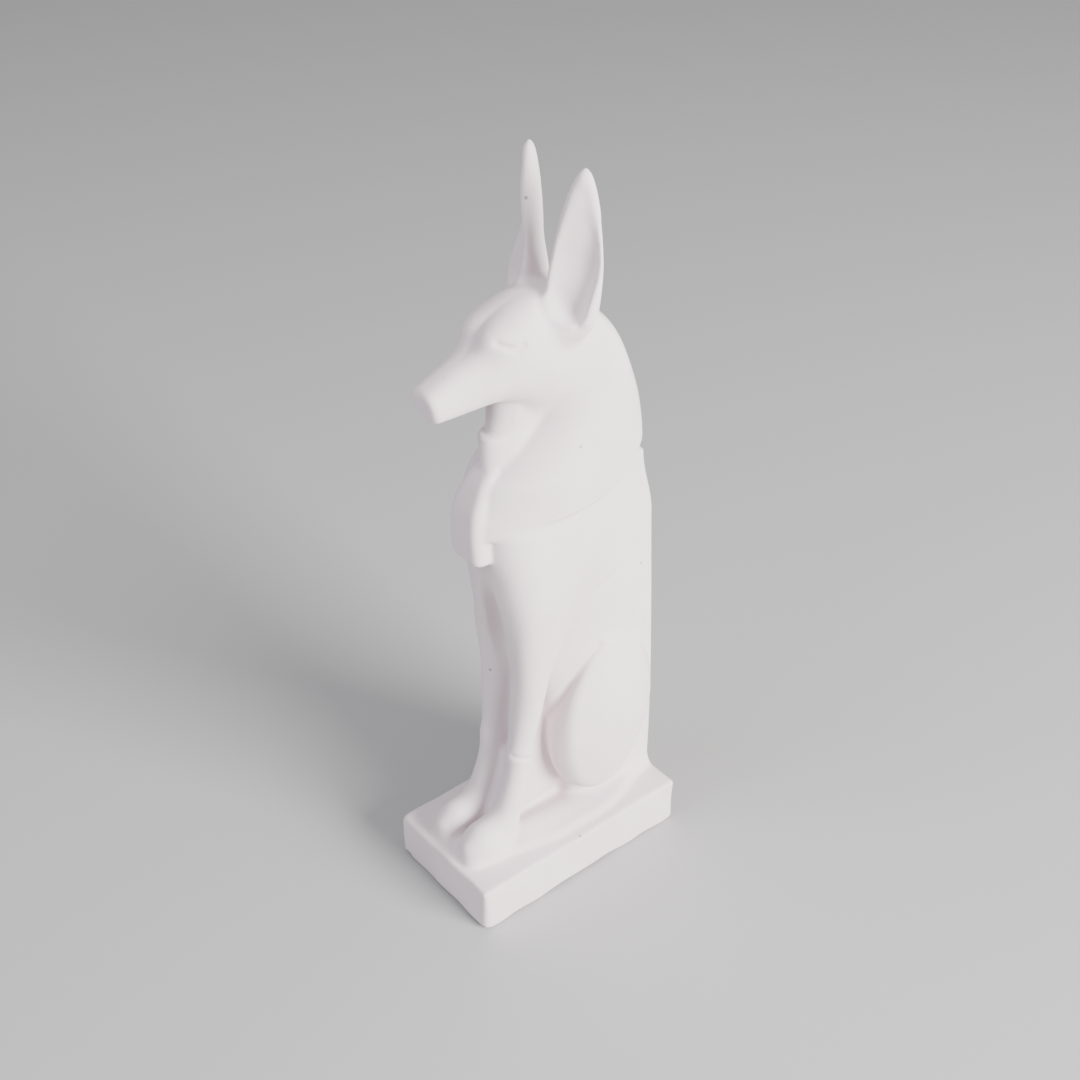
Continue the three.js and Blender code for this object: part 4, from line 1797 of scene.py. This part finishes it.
@dataclass(frozen=True)
class Floor:
    """Plain pale floor.

    Attributes:
        size: Length of its sides, in metres.
        colour: Its colour.
        rough: Its roughness.
    """

    size: float = 6.0
    colour: Colour = (0.45, 0.45, 0.45, 1.0)
    rough: float = 0.6

    def build(self) -> bpy.types.Object:
        """Floor at height 0.

        Returns:
            The new object.
        """
        half = self.size / 2
        corners = np.array([(-half, -half, 0), (half, -half, 0), (half, half, 0), (-half, half, 0)])
        mesh = mesh_from(corners, np.array([(0, 1, 2, 3)]), "floor")
        material = bpy.data.materials.new("floor")
        material.use_nodes = True
        shader = material.node_tree.nodes["Principled BSDF"]
        shader.inputs["Base Color"].default_value = self.colour
        shader.inputs["Roughness"].default_value = self.rough
        mesh.materials.append(material)
        piece = bpy.data.objects.new("floor", mesh)
        bpy.context.collection.objects.link(piece)
        LOG.info("%s: %.1f m square", piece.name, self.size)
        return piece


@dataclass(frozen=True)
class Lamp:
    """One soft lamp that faces the statue.

    Attributes:
        name: What the lamp does.
        place: Where it stands, in metres.
        size: Length of its sides, in metres.
        power: Its power, in watts.
        colour: Its colour.
    """

    name: str
    place: Triple
    size: float
    power: float
    colour: Triple

    def build(self, target: Vector) -> bpy.types.Object:
        """Area lamp aimed at a place.

        Args:
            target: Where it points.

        Returns:
            The new object.
        """
        data = bpy.data.lights.new(self.name, "AREA")
        data.size = self.size
        data.energy = self.power
        data.color = self.colour
        lamp = bpy.data.objects.new(self.name, data)
        lamp.location = self.place
        lamp.rotation_euler = (target - Vector(self.place)).to_track_quat("-Z", "Y").to_euler()
        bpy.context.collection.objects.link(lamp)
        LOG.info("%s lamp of %.1f W", self.name, self.power)
        return lamp


@dataclass(frozen=True)
class Studio:
    """Soft light round the statue.

    Attributes:
        lamps: The lamps.
        air: Strength of the even light from all round.
        air_colour: Its colour.
    """

    lamps: tuple[Lamp, ...] = (
        Lamp("key", (1.22, 0.32, 0.62), 0.7, 62.0, (1.0, 0.97, 0.96)),
        Lamp("front", (-0.15, -1.15, 1.0), 1.0, 12.5, (0.88, 0.9, 1.0)),
        Lamp("top", (0.05, 0.0, 1.5), 1.0, 7.5, (1.0, 0.95, 0.91)),
    )
    air: float = 0.26
    air_colour: Colour = (0.96, 0.96, 1.0, 1.0)

    def build(self, target: Vector) -> None:
        """Lamps and even light.

        Args:
            target: Middle of the statue.
        """
        for lamp in self.lamps:
            lamp.build(target)
        world = bpy.data.worlds.new("studio")
        world.use_nodes = True
        back = world.node_tree.nodes["Background"]
        back.inputs["Color"].default_value = self.air_colour
        back.inputs["Strength"].default_value = self.air
        bpy.context.scene.world = world


@dataclass(frozen=True)
class Viewpoint:
    """Camera at the photograph's angle.

    Attributes:
        azimuth: Turn round the statue, in degrees.
        elevation: Height above the horizon, in degrees.
        place: Where the camera stands, in metres.
        lens: Focal length.
        sensor: Width of the sensor.
    """

    azimuth: float = 50.9031
    elevation: float = 37.006
    place: Triple = (0.344073, -0.279338, 0.471926)
    lens: float = 56.667
    sensor: float = 36.0

    def build(self) -> bpy.types.Object:
        """Camera, set as the scene's own.

        Returns:
            The new object.
        """
        turn, lift = math.radians(self.azimuth), math.radians(self.elevation)
        right = Vector((math.cos(turn), math.sin(turn), 0.0))
        level = math.cos(lift)
        back = Vector((math.sin(turn) * level, -math.cos(turn) * level, math.sin(lift)))
        up = back.cross(right)
        data = bpy.data.cameras.new("camera")
        data.lens = self.lens
        data.sensor_width = self.sensor
        data.clip_start = 0.01
        camera = bpy.data.objects.new("camera", data)
        camera.matrix_world = Matrix((right, up, back)).transposed().to_4x4()
        camera.location = self.place
        bpy.context.collection.objects.link(camera)
        bpy.context.scene.camera = camera
        return camera


def main() -> None:
    """Builds the statue, its finish, the floor, the light and the camera in that order."""
    logging.basicConfig(level=logging.INFO, format="%(message)s", stream=sys.stdout)
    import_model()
    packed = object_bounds()
    low, high = Vector(packed[0]), Vector(packed[1])
    statue = Casting().build(low, high)
    statue.data.materials.append(Plaster().build())
    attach(statue, "root")
    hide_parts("statue")
    Floor().build()
    Studio().build(Vector((0.0, 0.0, high.z / 2)))
    Viewpoint().build()


if __name__ == "__main__":
    main()
